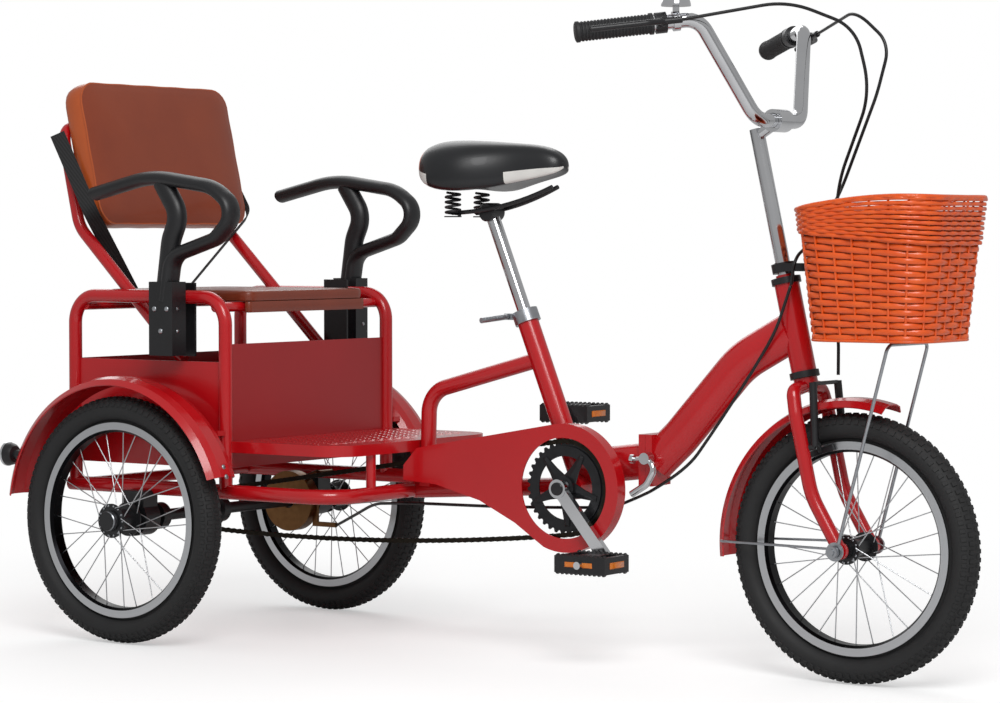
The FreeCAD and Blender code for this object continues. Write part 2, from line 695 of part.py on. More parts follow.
def chain_guard(frame):
    shell = Part.Face(guard_outline(0)).extrude(Vector(0, GUARD_DEPTH, 0))
    shell = shell.cut(Part.Face(guard_outline(GUARD_WALL)).extrude(Vector(0, GUARD_DEPTH + 5, 0))
                      .translated(Vector(0, GUARD_WALL, 0)))
    shell.translate(Vector(0, GUARD_FACE_Y, 0))
    tab = block(430, 450, -40, -5, 262, 271)
    shell = fuse([shell, tab]).cut(frame)
    window = drum(BB_X, BB_Z, GUARD_FACE_Y - 5, GUARD_FACE_Y + GUARD_WALL + 1, GUARD_WINDOW_R)
    return shell.cut(window).cut(chain_band(CHAIN_HALF_H + GUARD_GAP, CHAIN_W + 2 * GUARD_GAP))


def crank_arm(side):
    """One arm with its pedal pin; side -1 is the right."""
    angle = math.radians(CRANK_ANGLE if side < 0 else CRANK_ANGLE + 180.0)
    end_x = BB_X + CRANK_LEN * math.cos(angle)
    end_z = BB_Z + CRANK_LEN * math.sin(angle)
    y0 = side * CRANK_PLANE - CRANK_THICK / 2
    y1 = y0 + CRANK_THICK
    along = Part.makeBox(CRANK_LEN, CRANK_THICK, 20.0, Vector(0, y0, -10.0))
    along.rotate(Vector(0, 0, 0), AXIS_Y, -math.degrees(angle))
    along.translate(place(BB_X, 0, BB_Z))
    pin_y = side * (CRANK_PLANE + CRANK_THICK / 2 - 1)
    pin_end = side * (CRANK_PLANE + CRANK_THICK / 2 + PEDAL_W + 14.0)
    low, high = sorted((pin_y, pin_end))
    return fuse([along, drum(BB_X, BB_Z, y0 - 1, y1 + 1, 15.0), drum(end_x, end_z, y0, y1, 12.0),
                 drum(end_x, end_z, low, high, PEDAL_PIN_R)])


def crankset():
    spindle = drum(BB_X, BB_Z, -CRANK_PLANE, CRANK_PLANE, SPINDLE_R)
    return fuse([spindle, crank_arm(-1), crank_arm(1)])


def chainring():
    disc_r = CHAINRING_R - CHAIN_HALF_H - CLEAR
    plate = ring(BB_X, BB_Z, CHAIN_Y - 1.5, CHAIN_Y + 1.5, disc_r, SPINDLE_R + CLEAR)
    boss = ring(BB_X, BB_Z, CHAIN_Y - 14.0, CHAIN_Y + 1.5, 20.0, SPINDLE_R + CLEAR)
    holes = []
    for index in range(5):
        angle = math.radians(CRANK_ANGLE + 36 + 72 * index)
        holes.append(drum(BB_X + 46 * math.cos(angle), BB_Z + 46 * math.sin(angle),
                          CHAIN_Y - 3, CHAIN_Y + 3, 16.0))
    return fuse([plate, boss]).cut(Part.makeCompound(holes))


def pedal(side):
    angle = math.radians(CRANK_ANGLE if side < 0 else CRANK_ANGLE + 180.0)
    x = BB_X + CRANK_LEN * math.cos(angle)
    z = BB_Z + CRANK_LEN * math.sin(angle)
    y0 = CRANK_PLANE + CRANK_THICK / 2 + 6.0
    low, high = sorted((side * y0, side * (y0 + PEDAL_W)))
    body = block(x - PEDAL_L / 2, x + PEDAL_L / 2, low, high, z - PEDAL_T / 2, z + PEDAL_T / 2)
    for sign in (-1, 1):
        x0, x1 = sorted((x + sign * 18.0, x + sign * (PEDAL_L / 2 - 9.0)))
        body = body.cut(block(x0, x1, low + 9, high - 9, z - PEDAL_T, z + PEDAL_T))
    return body.cut(drum(x, z, low - 1, high + 1, PEDAL_PIN_R + RUNNING))


# ---- saddle ----
def post_clamp():
    top = seat_point(SEAT_TUBE_LEN - 14.0)
    collar = cylinder(top, SEAT_DIR, SEAT_TUBE_R + 4.0, 20.0)
    collar = collar.cut(cylinder(top - SEAT_DIR * 2, SEAT_DIR, SEAT_TUBE_R + CLEAR, 16.0 + CLEAR))
    collar = collar.cut(cylinder(top - SEAT_DIR * 2, SEAT_DIR, POST_R + RUNNING + 0.4, 40.0))
    ear = Part.makeBox(26, 14, 10, top + Vector(-42, -7, 4))
    lever = between(top + Vector(-36, -8, 9), top + Vector(-48, -62, 4), 4.5)
    return fuse([collar, ear.cut(cylinder(top, SEAT_DIR, SEAT_TUBE_R + 2, 30)), lever])


def seat_post():
    low = SEAT_TUBE_LEN + POST_OUT - POST_LEN
    return cylinder(seat_point(low), SEAT_DIR, POST_R, POST_LEN)


def saddle_carrier():
    """Clamp, rails and coil springs under the saddle."""
    top = seat_point(SEAT_TUBE_LEN + POST_OUT)
    clamp = Part.makeCylinder(15.0, 34.0, top + Vector(-4, -17, 9), AXIS_Y)
    clamp = clamp.cut(cylinder(seat_point(SEAT_TUBE_LEN), SEAT_DIR, POST_R + CLEAR, POST_OUT))
    pieces = [clamp]
    for side in (-1, 1):
        y = side * 24.0
        nose = Vector(top.x + 118, side * 8.0, 744.0)
        mid = Vector(top.x + 30, side * 15.0, top.z + 10)
        rear = Vector(top.x - 44, side * 34.0, top.z + 10)
        pieces.append(rod([nose, mid, rear], 4.0, [60.0]))
        spring_base = Vector(top.x - 52, side * 40.0, top.z + 2)
        pieces.append(cylinder(spring_base, Vector(0, 0, 1), 14.0, SADDLE_LOW_Z - CLEAR - spring_base.z))
    return fuse(pieces)


def saddle():
    """Wide rear, narrow nose, soft crowned top."""
    def section(x, half_w, low, high):
        points = [(-half_w, low), (-half_w, low + (high - low) * 0.45), (-half_w * 0.6, high),
                  (half_w * 0.6, high), (half_w, low + (high - low) * 0.45), (half_w, low)]
        corners = [place(x, side, z) for side, z in points]
        return Part.makePolygon(corners + corners[:1])
    sections = [
        section(SADDLE_REAR_X, SADDLE_HALF_W * 0.72, 742, SADDLE_TOP_Z - 22),
        section(SADDLE_REAR_X + 40, SADDLE_HALF_W, SADDLE_LOW_Z, SADDLE_TOP_Z),
        section(SADDLE_REAR_X + 100, SADDLE_HALF_W * 0.78, 742, SADDLE_TOP_Z - 2),
        section(SADDLE_REAR_X + 160, SADDLE_HALF_W * 0.34, 750, SADDLE_TOP_Z - 12),
        section(SADDLE_FRONT_X - 14, SADDLE_HALF_W * 0.26, 752, SADDLE_TOP_Z - 32),
        section(SADDLE_FRONT_X, SADDLE_HALF_W * 0.14, 758, SADDLE_TOP_Z - 46),
    ]
    return Part.makeLoft(sections, True, True)


# ---- front frame ----
def main_tube():
    tube = oval_rod([
        place(HINGE_X + HINGE_PLATE - 4, 0, HINGE_Z - 2), place(900, 0, 356), place(1010, 0, 476),
        head_point(66.0, 0.0, -8.0),
    ], MAIN_TUBE_HALF_H, MAIN_TUBE_HALF_W, [140.0, 150.0])
    head = cylinder(head_point(4.0), HEAD_DIR, HEAD_R, HEAD_LEN)
    plate = block(HINGE_X + 0.2, HINGE_X + HINGE_PLATE, -HINGE_W / 2, HINGE_W / 2,
                  HINGE_Z - HINGE_H / 2, HINGE_Z + HINGE_H / 2)
    behind = block(HINGE_X - 60, HINGE_X + 0.2, -60, 60, HINGE_Z - 90, HINGE_Z + 90)
    body = fuse([tube.cut(behind), head, plate, front_knuckle()])
    body = body.cut(cylinder(head_point(0.0), HEAD_DIR, STEERER_R + RUNNING, HEAD_LEN + 10))
    body = body.cut(cylinder(place(HINGE_X, HINGE_PIN_Y, HINGE_Z - HINGE_H), Vector(0, 0, 1),
                             HINGE_PIN_R + RUNNING, 2 * HINGE_H))
    for z0, z1 in rear_knuckle_spans():
        body = body.cut(cylinder(place(HINGE_X, HINGE_PIN_Y, z0 - 0.4), Vector(0, 0, 1),
                                 KNUCKLE_R + 0.6, z1 - z0 + 0.8))
    return body


def rear_knuckle_spans():
    low, high = HINGE_Z - HINGE_H / 2, HINGE_Z + HINGE_H / 2
    third = HINGE_H / 3
    return [(low, low + third), (high - third, high)]


def front_knuckle():
    low, high = HINGE_Z - HINGE_H / 2, HINGE_Z + HINGE_H / 2
    third = HINGE_H / 3
    return knuckle(low + third + 0.4, high - third - 0.4, 1)


def frame_latch():
    """Curved lever and pull rod on the right of the fold, carried by the front plate."""
    y = -HINGE_W / 2 - 9.0
    boss = drum(HINGE_X + 8, HINGE_Z + 4, y - 8, -HINGE_W / 2 - CLEAR, 9.0)
    lever = rod([place(HINGE_X + 8, y, HINGE_Z + 4), place(HINGE_X + 26, y - 4, HINGE_Z - 10),
                 place(HINGE_X + 12, y - 6, HINGE_Z - 36), place(HINGE_X - 14, y - 8, HINGE_Z - 52)],
                5.5, [14.0, 24.0])
    pull = between(place(HINGE_X + 8, y, HINGE_Z + 4), place(HINGE_X - 18, y, HINGE_Z + 2), 3.0)
    nut = between(place(HINGE_X - 20, y, HINGE_Z + 2), place(HINGE_X - 14, y, HINGE_Z + 2), 7.0)
    return fuse([boss, lever, pull, nut])


def headset():
    cups = []
    for along in (-6.0, HEAD_LEN + 4.0):
        cup = cylinder(head_point(along), HEAD_DIR, HEAD_R + 3.5, 10.0 - CLEAR)
        cups.append(cup.cut(cylinder(head_point(along - 1), HEAD_DIR, STEERER_R + RUNNING, 14.0)))
    return Part.makeCompound(cups)


# ---- steered assembly ----
def fork():
    steerer = cylinder(head_point(-10.0), HEAD_DIR, STEERER_R, HEAD_LEN + 28.0)
    crown = cylinder(head_point(-22.0), HEAD_DIR, 18.0, 15.5)
    pieces = [steerer, crown]
    for side in (-1, 1):
        pieces.append(rod([
            head_point(-18.0, side * 6.0), head_point(-24.0, side * 44.0), head_point(-60.0, side * FORK_HALF),
            head_point(-182.0, side * FORK_HALF), place(WHEELBASE, side * FORK_HALF, TYRE_R + 2.0),
        ], FORK_LEG_R, [14.0, 30.0, 120.0]))
        tip = drum(WHEELBASE, TYRE_R, side * FORK_HALF - 4.0, side * FORK_HALF + 4.0, 13.0)
        pieces.append(tip)
    body = fuse(pieces)
    return body.cut(drum(WHEELBASE, TYRE_R, -80, 80, FRONT_AXLE_R + CLEAR))


def front_axle():
    half = FORK_HALF + 28.0
    pieces = [drum(WHEELBASE, TYRE_R, -half, half, FRONT_AXLE_R)]
    for side in (-1, 1):
        y0, y1 = sorted((side * (FORK_HALF + 17.0), side * (FORK_HALF + 26.0)))
        pieces.append(drum(WHEELBASE, TYRE_R, y0, y1, 9.0))
    return fuse(pieces)


def stem():
    low = HEAD_LEN + 18.0 + CLEAR
    bar = place(BAR_X, 0, BAR_Z)
    axis_len = (BAR_Z - 12 - HEAD_Z) / HEAD_DIR.z
    quill = cylinder(head_point(low), HEAD_DIR, STEM_R, axis_len - low)
    neck = between(head_point(axis_len - 10), bar, 9.0)
    clamp = drum(BAR_X, BAR_Z, -19, 19, BAR_R + 6.0)
    body = fuse([quill, neck, clamp])
    return body.cut(drum(BAR_X, BAR_Z, -30, 30, BAR_R + CLEAR))


def bar_points(side):
    return [
        place(BAR_X, side * BAR_LOW_Y, BAR_Z),
        place(BAR_HIGH[0], side * BAR_HIGH[1], BAR_HIGH[2] + 6),
        place(GRIP_OUT[0], side * GRIP_OUT[1], GRIP_OUT[2]),
    ]


def handlebar():
    path = list(reversed(bar_points(-1))) + bar_points(1)
    return rod(path, BAR_R, [34.0, 38.0, 38.0, 34.0])


def grip_axis(side):
    start = place(BAR_HIGH[0], side * BAR_HIGH[1], BAR_HIGH[2] + 6)
    end = place(GRIP_OUT[0], side * GRIP_OUT[1], GRIP_OUT[2])
    return start, (end - start).normalize(), (end - start).Length


def grips():
    solids = []
    for side in (-1, 1):
        start, along, length = grip_axis(side)
        base = start + along * (length - 112.0)
        grip = cylinder(base, along, GRIP_R, 116.0)
        solids.append(grip.cut(cylinder(base - along, along, BAR_R + CLEAR, 113.0 + CLEAR)))
    return Part.makeCompound(solids)


def lever_place(side):
    """Clamp position, direction out along the grip, and the lever's pivot ahead of it."""
    start, along, length = grip_axis(side)
    at = start + along * (length - 132.0)
    ahead = Vector(0, 0, 1).cross(along).normalize() * -side
    return at, along, ahead, at + along * 8 + ahead * 32


def brake_levers():
    solids = []
    for side in (-1, 1):
        at, along, ahead, pivot = lever_place(side)
        clamp = cylinder(at, along, BAR_R + 4.5, 16.0)
        body = between(at + along * 8, pivot, 7.0)
        lever = rod([pivot, pivot + ahead * 14 + along * 26, pivot + ahead * 12 + along * 112], 4.5, [16.0])
        barrel = between(pivot, pivot - along * BARREL_LEN, 5.0)
        piece = fuse([clamp, body, lever, barrel])
        solids.append(piece.cut(cylinder(at - along * 30, along, BAR_R + CLEAR, 80.0)))
    return Part.makeCompound(solids)


# ---- brake cables ----
def route(points):
    return [place(*point) for point in points]


def handlebar_cables():
    """Both cables as far as the head tube: right lever to front brake, left lever to the frame."""
    cables = []
    for side, points, bends in ((-1, FRONT_CABLE, FRONT_BENDS), (1, REAR_CABLE_TOP, REAR_TOP_BENDS)):
        along, pivot = lever_place(side)[1], lever_place(side)[3]
        start = pivot - along * (BARREL_LEN + CLEAR)
        cables.append(rod([start] + route(points), CABLE_R, bends))
    return Part.makeCompound(cables)


def frame_cable():
    return rod(route(REAR_CABLE_FRAME), CABLE_R, 90.0)


def rear_cable():
    return rod(route(REAR_CABLE_LOW), CABLE_R, 80.0)


def bell():
    start, along, length = grip_axis(-1)
    at = start + along * (length - 152.0)
    up = Vector(0, 0, 1)
    clamp = cylinder(at, along, BAR_R + 3.5, 10.0).cut(cylinder(at - along, along, BAR_R + CLEAR, 14.0))
    dome = Part.makeSphere(22.0, at + along * 5 + up * 22, up, 0, 90, 360)
    post = cylinder(at + along * 5 + up * (BAR_R + 2), up, 5.0, 12.0)
    return fuse([clamp, dome, post])


def front_fender():
    profile = fender_profile(226.0, 31.0, 14.0)
    return revolve(profile, WHEELBASE, TYRE_R, 0.0, 112.0, 16.0 - 112.0 )


def front_brake(legs):
    solids = []
    shoe_r = TYRE_SEAT_R - RIM_DEPTH / 2.0
    shoe_x = WHEELBASE + shoe_r * math.cos(math.radians(SHOE_ANGLE))
    shoe_z = TYRE_R + shoe_r * math.sin(math.radians(SHOE_ANGLE))
    for side in (-1, 1):
        foot = head_point(-112.0, side * 44.0, FORK_LEG_R + 8.0)
        top = head_point(-18.0, side * 38.0, FORK_LEG_R + 22.0)
        arm = between(foot, top, 6.0)
        boss = between(head_point(-112.0, side * 46.0, FORK_LEG_R * 0.9), foot, 5.0)
        shoe = Part.makeBox(44, 6, 9, Vector(-22, -3, -4.5))
        shoe.rotate(Vector(0, 0, 0), AXIS_Y, 90.0 - SHOE_ANGLE)
        shoe.translate(place(shoe_x, side * (RIM_HALF_W + 4.5), shoe_z))
        link = between(head_point(-96.0, side * 43.0, FORK_LEG_R + 10.0),
                       place(shoe_x, side * (RIM_HALF_W + 6.0), shoe_z), 4.0)
        solids.append(fuse([arm, boss, shoe, link]))
    ahead = FORK_LEG_R + 22.0
    noodle = between(head_point(-20.0, -36.0, ahead), head_point(-20.0, 36.0, ahead), 3.0)
    return fuse(solids + [noodle]).cut(legs)


def basket_section(z, inset, grow):
    x0 = BASKET_REAR_X + inset - grow
    x1 = BASKET_REAR_X + BASKET_LEN - inset + grow
    half = BASKET_HALF_W - inset + grow
    corner = BASKET_CORNER - inset * 0.5
    plan = [
        place(x0, -half + corner, z), place(x0 + corner, -half, z), place(x1 - corner, -half, z),
        place(x1, -half + corner, z), place(x1, half - corner, z), place(x1 - corner, half, z),
        place(x0 + corner, half, z), place(x0, half - corner, z),
    ]
    root = corner * (1 - math.sqrt(0.5))
    mids = [
        place(x1 - root, -half + root, z), place(x1 - root, half - root, z),
        place(x0 + root, half - root, z), place(x0 + root, -half + root, z),
    ]
    return Part.Wire([
        Part.LineSegment(plan[1], plan[2]).toShape(), Part.Arc(plan[2], mids[0], plan[3]).toShape(),
        Part.LineSegment(plan[3], plan[4]).toShape(), Part.Arc(plan[4], mids[1], plan[5]).toShape(),
        Part.LineSegment(plan[5], plan[6]).toShape(), Part.Arc(plan[6], mids[2], plan[7]).toShape(),
        Part.LineSegment(plan[7], plan[0]).toShape(), Part.Arc(plan[0], mids[3], plan[1]).toShape(),
    ])


def basket():
    top_z = BASKET_LOW_Z + BASKET_H
    lip_share = BASKET_LIP_H / BASKET_H
    lip_z = top_z - BASKET_LIP_H
    outer = Part.makeLoft([basket_section(BASKET_LOW_Z, BASKET_TAPER, 0), basket_section(top_z, 0, 0)], True, True)
    hollow = Part.makeLoft([basket_section(BASKET_LOW_Z + BASKET_WALL, BASKET_TAPER, -BASKET_WALL),
                            basket_section(top_z + 2, 0, -BASKET_WALL)], True, True)
    lip = Part.makeLoft([basket_section(lip_z, BASKET_TAPER * lip_share, 4.0), basket_section(top_z, 0, 4.0)],
                        True, True)
    return fuse([outer, lip]).cut(hollow)


def basket_bracket():
    """Arm from above the headset forward to the basket's rear wall."""
    at = head_point(HEAD_LEN + 22.0)
    bore = cylinder(at - HEAD_DIR, HEAD_DIR, STEM_R + CLEAR, 18.0)
    collar = cylinder(at, HEAD_DIR, STEM_R + 7.0, 14.0).cut(bore)
    reach = BASKET_REAR_X + 6.5
    arms = []
    for side in (-1, 1):
        arms.append(block(HEAD_X - 42, reach, side * 15.0 - 2.5, side * 15.0 + 2.5, at.z + 2, at.z + 14))
    cross = block(reach - 4.0, reach, -40, 40, at.z - 4, at.z + 22)
    body = fuse([collar, cross] + arms)
    return body.cut(cylinder(at - HEAD_DIR * 10, HEAD_DIR, STEM_R + CLEAR, 40.0))


def front_stays():
    """Wire stays: basket floor to axle, and fender rear to axle."""
    y = FORK_HALF + 14.0
    top_x, top_z = 1291.0, BASKET_LOW_Z - 3.0 - CLEAR
    basket_stay = rod([place(WHEELBASE + 6, -y, TYRE_R + 12), place(top_x, -y, top_z), place(top_x, y, top_z),
                       place(WHEELBASE + 6, y, TYRE_R + 12)], 2.6, 12.0)
    angle = math.radians(186.0)
    pieces = [basket_stay]
    for side in (-1, 1):
        end = place(WHEELBASE + 214.0 * math.cos(angle), side * 33.5, TYRE_R + 214.0 * math.sin(angle) + 24)
        pieces.append(between(place(WHEELBASE - 8, side * y, TYRE_R + 4), end, 2.0))
        pieces.append(drum(WHEELBASE, TYRE_R, side * y - 1.5, side * y + 1.5, 14.0))
    return fuse(pieces).cut(drum(WHEELBASE, TYRE_R, -FORK_HALF - 40, FORK_HALF + 40, FRONT_AXLE_R + CLEAR))


def write_rear_body():
    rails = lower_frame()
    frame = seat_frame(rails)
    export("lower_frame", rails)
    export("seat_frame", frame)
    hoop = side_hoop(rails)
    both_sides("side_hoop", hoop)
    both_sides("side_panel", side_panel())
    export("front_panel", end_panel(BOX_FRONT_X, PANEL_LOW_Z, FRONT_PANEL_TOP_Z))
    export("rear_panel", end_panel(BOX_REAR_X, PANEL_LOW_Z, SIDE_PANEL_TOP_Z))
    export("box_floor", box_floor())
    export("footboard", footboard())
    hoops = Part.makeCompound([hoop, mirrored(hoop)])
    export("passenger_frame", passenger_frame(hoops))
    export("passenger_seat", passenger_seat())
    export("backrest_cushion", backrest_cushion())
    both_sides("armrest", armrest(hoop))
    export("armrest_bracket", Part.makeCompound([armrest_bracket(), mirrored(armrest_bracket())]))
    both_sides("rear_fender", rear_fender())
    export("rear_reflectors", rear_reflectors())
    export("axle_bearings", axle_bearings(rails))
    export("band_brake", band_brake(rails))
    export("drive_chain", drive_chain())
    export("chain_guard", chain_guard(frame))
    export("post_clamp", post_clamp())
    export("harness_straps", harness_straps())
    export("rear_cable", rear_cable())


def write_moving_parts():
    write_wheels()
    export("rear_axle", rear_axle())
    export("crankset", crankset())
    export("chainring", chainring())
    export("pedal_right", pedal(-1))
    export("pedal_left", pedal(1))
    export("seat_post", seat_post())
    export("saddle_carrier", saddle_carrier())
    export("saddle", saddle())
    export("main_tube", main_tube())
    export("frame_latch", frame_latch())
    export("headset", headset())
    legs = fork()
    export("fork", legs)
    export("front_axle", front_axle())
    export("stem", stem())
    export("handlebar", handlebar())
    export("grips", grips())
    export("brake_levers", brake_levers())
    export("bell", bell())
    export("front_fender", front_fender())
    export("front_brake", front_brake(legs))
    export("basket", basket())
    export("basket_bracket", basket_bracket())
    export("front_stays", front_stays())
    export("handlebar_cables", handlebar_cables())
    export("frame_cable", frame_cable())


os.makedirs("parts", exist_ok=True)
write_rear_body()
write_moving_parts()
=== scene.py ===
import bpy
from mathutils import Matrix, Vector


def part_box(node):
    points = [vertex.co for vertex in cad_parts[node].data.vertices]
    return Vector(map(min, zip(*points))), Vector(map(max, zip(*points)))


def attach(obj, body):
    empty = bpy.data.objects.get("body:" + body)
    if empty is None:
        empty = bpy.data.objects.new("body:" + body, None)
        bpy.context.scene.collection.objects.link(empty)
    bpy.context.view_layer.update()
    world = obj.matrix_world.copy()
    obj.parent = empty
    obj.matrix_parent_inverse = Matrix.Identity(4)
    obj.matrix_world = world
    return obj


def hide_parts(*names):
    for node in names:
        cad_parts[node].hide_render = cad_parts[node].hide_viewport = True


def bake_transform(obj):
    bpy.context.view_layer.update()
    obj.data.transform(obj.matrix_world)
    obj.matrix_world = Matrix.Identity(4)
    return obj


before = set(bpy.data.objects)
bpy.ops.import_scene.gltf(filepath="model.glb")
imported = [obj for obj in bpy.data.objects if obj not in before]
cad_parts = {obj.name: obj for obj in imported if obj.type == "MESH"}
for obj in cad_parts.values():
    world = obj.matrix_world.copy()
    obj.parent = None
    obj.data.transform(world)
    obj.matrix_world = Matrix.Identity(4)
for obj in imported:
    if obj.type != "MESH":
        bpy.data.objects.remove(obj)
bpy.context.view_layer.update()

import math

import bpy
from mathutils import Matrix, Vector

# ---- Camera ----
# Eye level of someone standing ahead of the tricycle on its right side, with a long lens, so that the
# near and far wheels come out nearly the same size.
camera = bpy.data.objects.new("view", bpy.data.cameras.new("view"))
camera.data.lens = 111.57
camera.data.sensor_width = 36.0
camera.data.sensor_fit = "HORIZONTAL"
camera.location = (2.8202, -4.0756, 0.6725)
camera.rotation_euler = (math.radians(90.0 - 2.2047), 0.0, math.radians(34.81))
bpy.context.collection.objects.link(camera)
bpy.context.scene.camera = camera
bpy.context.scene.view_settings.view_transform = "Standard"

MM = 0.001
PER_MM = 1000.0
REAR_WHEEL_Y = 275.5 * MM
REAR_AXLE = (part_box("rear_right_tyre")[0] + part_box("rear_right_tyre")[1]) / 2.0
FRONT_AXLE = (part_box("front_tyre")[0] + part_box("front_tyre")[1]) / 2.0
CRANK_AXLE = (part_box("chainring")[0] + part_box("chainring")[1]) / 2.0


def at(x, y, z):
    """A point in millimetres, with x counted forward from the rear axle, as the frame is drawn."""
    return Vector((REAR_AXLE.x + x * MM, y * MM, z * MM))


# ---- Painted steel frame ----
# Tubes and folded sheet of mild steel, welded and powder coated in bright red. The coat is thick
# and glossy, with the fine orange peel that powder leaves and slow drifts of shade over the panels.
def linear(colour):
    """An sRGB hex colour as linear RGBA."""
    parts = [int(colour[i:i + 2], 16) / 255.0 for i in (1, 3, 5)]
    return [c / 12.92 if c <= 0.04045 else ((c + 0.055) / 1.055) ** 2.4 for c in parts] + [1.0]


def add(material, kind, settings, inputs):
    """Add a node: settings are its own values, inputs are numbers or sockets to link from."""
    new = material.node_tree.nodes.new(kind)
    for name, value in settings.items():
        setattr(new, name, value)
    for name, value in inputs.items():
        if isinstance(value, bpy.types.NodeSocket):
            material.node_tree.links.new(value, new.inputs[name])
        else:
            new.inputs[name].default_value = value
    return new


def finish_named(name, **values):
    """A material with its shader's plain values set, ready for its pattern."""
    material = bpy.data.materials.new(name)
    material.use_nodes = True
    shader = material.node_tree.nodes["Principled BSDF"]
    for socket, value in values.items():
        shader.inputs[socket.replace("_", " ")].default_value = value
    return material, shader


def feed(material, shader, **sockets):
    """Link patterns into the shader."""
    for name, socket in sockets.items():
        material.node_tree.links.new(socket, shader.inputs[name.replace("_", " ")])


def surface(name, dark, light, patch_mm, grain_mm, depth_mm, strength, **values):
    """A finish whose colour drifts over patch_mm, with a relief of grain_mm across and depth_mm deep."""
    material, shader = finish_named(name, **values)
    spot = add(material, "ShaderNodeTexCoord", {}, {}).outputs["Object"]
    drift = add(material, "ShaderNodeTexNoise", {}, {
        "Vector": spot, "Scale": PER_MM / patch_mm, "Detail": 4.0})
    tint = add(material, "ShaderNodeMixRGB", {}, {
        "Fac": drift.outputs["Fac"], "Color1": linear(dark), "Color2": linear(light)})
    grain = add(material, "ShaderNodeTexNoise", {}, {
        "Vector": spot, "Scale": PER_MM / grain_mm, "Detail": 3.0})
    relief = add(material, "ShaderNodeBump", {}, {
        "Height": grain.outputs["Fac"], "Strength": strength, "Distance": depth_mm * MM})
    rough = add(material, "ShaderNodeMapRange", {}, {
        "Value": drift.outputs["Fac"], "To Min": shader.inputs["Roughness"].default_value * 0.85,
        "To Max": shader.inputs["Roughness"].default_value * 1.15})
    feed(material, shader, Base_Color=tint.outputs["Color"], Normal=relief.outputs["Normal"],
         Roughness=rough.outputs["Result"])
    return material


def coat(material, *nodes):
    """Give CAD nodes this material."""
    for name in nodes:
        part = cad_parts[name]
        if not part.material_slots:
            part.data.materials.append(material)
        for place in part.material_slots:
            place.link = "OBJECT"
            place.material = material


red_powder = surface("red powder coat on steel", "#b00a12", "#c81019", 220.0, 2.5, 0.25, 0.05,
                     Roughness=0.24, Coat_Weight=0.35, Coat_Roughness=0.05)
coat(red_powder, "lower_frame", "seat_frame", "side_hoop_right", "side_hoop_left", "side_panel_right",
     "side_panel_left", "passenger_frame", "rear_fender_right", "rear_fender_left", "chain_guard",
     "main_tube", "fork", "front_fender", "footboard")

# The front, rear and floor sheets of the box sit in its shade. Their red is painted darker as painted shade, with a
# rougher, thinner clear coat.
painted_shade_red = surface("red powder coat darkened as painted shade on box sheet", "#8e0a10", "#a60e15", 260.0, 2.5, 0.25, 0.08,
                   Roughness=0.34, Coat_Weight=0.2, Coat_Roughness=0.12)
coat(painted_shade_red, "front_panel", "rear_panel", "box_floor")


# ---- Tread plate of the footboard ----
# The deck is pressed sheet: low lozenges stand up all over it in rows set half a step apart, for grip
# under a passenger's shoes, under the same red coat.
def made(name, points, faces, material, body, sharp_deg=35.0):
    """A mesh piece in the frame's own place, smooth but for its edges, carried by a CAD body."""
    mesh = bpy.data.meshes.new(name)
    mesh.from_pydata([tuple(point) for point in points], [], faces)
    mesh.validate()
    mesh.shade_smooth()
    mesh.set_sharp_from_angle(angle=math.radians(sharp_deg))
    new = bpy.data.objects.new(name, mesh)
    bpy.context.collection.objects.link(new)
    for one in material if isinstance(material, list) else [material]:
        mesh.materials.append(one)
    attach(new, body)
    return new


def joined(parts):
    """Several (points, faces) shapes as one list of points and one of faces."""
    points, faces = [], []
    for some_points, some_faces in parts:
        start = len(points)
        points.extend(some_points)
        faces.extend([tuple(start + index for index in face) for face in some_faces])
    return points, faces


deck_low, deck_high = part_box("footboard")
LOZENGE_L, LOZENGE_W, LOZENGE_H, STEP_X, STEP_Y = 13 * MM, 7 * MM, 0.9 * MM, 17 * MM, 24 * MM
lozenges = []
for row in range(int((deck_high.x - deck_low.x - 40 * MM) / STEP_X)):
    x = deck_low.x + 22 * MM + row * STEP_X
    reach = deck_high.y - 24 * MM - max(0.0, x - deck_high.x + 60 * MM) * 0.7
    y = -reach + (row % 2) * STEP_Y / 2.0
    while y < reach:
        lean = 1.0 if (row + round(y / STEP_Y * 2)) % 2 else -1.0
        long_way = Vector((LOZENGE_W * 0.6, lean * LOZENGE_L / 2, 0.0))
        short_way = Vector((LOZENGE_W / 2, -lean * LOZENGE_W * 0.25, 0.0))
        base = Vector((x, y, deck_high.z))
        corners = [base + long_way, base + short_way, base - long_way, base - short_way]
        tops = [base + (corner - base) * 0.55 + Vector((0, 0, LOZENGE_H)) for corner in corners]
        lozenges.append((corners + tops, [(4, 5, 6, 7)] + [(i, (i + 1) % 4, 4 + (i + 1) % 4, 4 + i)
                                                           for i in range(4)]))
        y += STEP_Y
made("deck_tread", *joined(lozenges), red_powder, "rear_frame")

# ---- Black fittings ----
# Bearing blocks, the axle, hubs, headset cups and brackets are steel or cast alloy under satin black
# enamel, smoother than the powder coat and a little greyer where hands and tools rub it.
black_enamel = surface("satin black enamel on steel", "#0f0f11", "#202023", 40.0, 3.0, 0.2, 0.12,
                       Roughness=0.36)
coat(black_enamel, "axle_bearings", "headset", "basket_bracket", "rear_axle", "front_brake", "front_hub",
     "rear_right_hub", "rear_left_hub", "armrest_bracket")

# ---- Plated parts ----
# The handlebar, stem, saddle post, cranks, bell and latch are chrome plated steel: near a mirror, over
# a very slightly waved surface. Axle nuts, wire stays and bolts are zinc plated, greyer and softer.
chrome = surface("chrome plate on steel", "#c4c5c8", "#dedfe1", 60.0, 1.5, 0.04, 0.10,
                 Metallic=1.0, Roughness=0.10)
coat(chrome, "handlebar", "stem", "seat_post", "bell", "crankset", "frame_latch")
zinc = surface("zinc plate on steel", "#94979c", "#bcbfc3", 12.0, 1.0, 0.08, 0.20,
               Metallic=1.0, Roughness=0.34)
coat(zinc, "front_axle", "front_stays", "post_clamp")


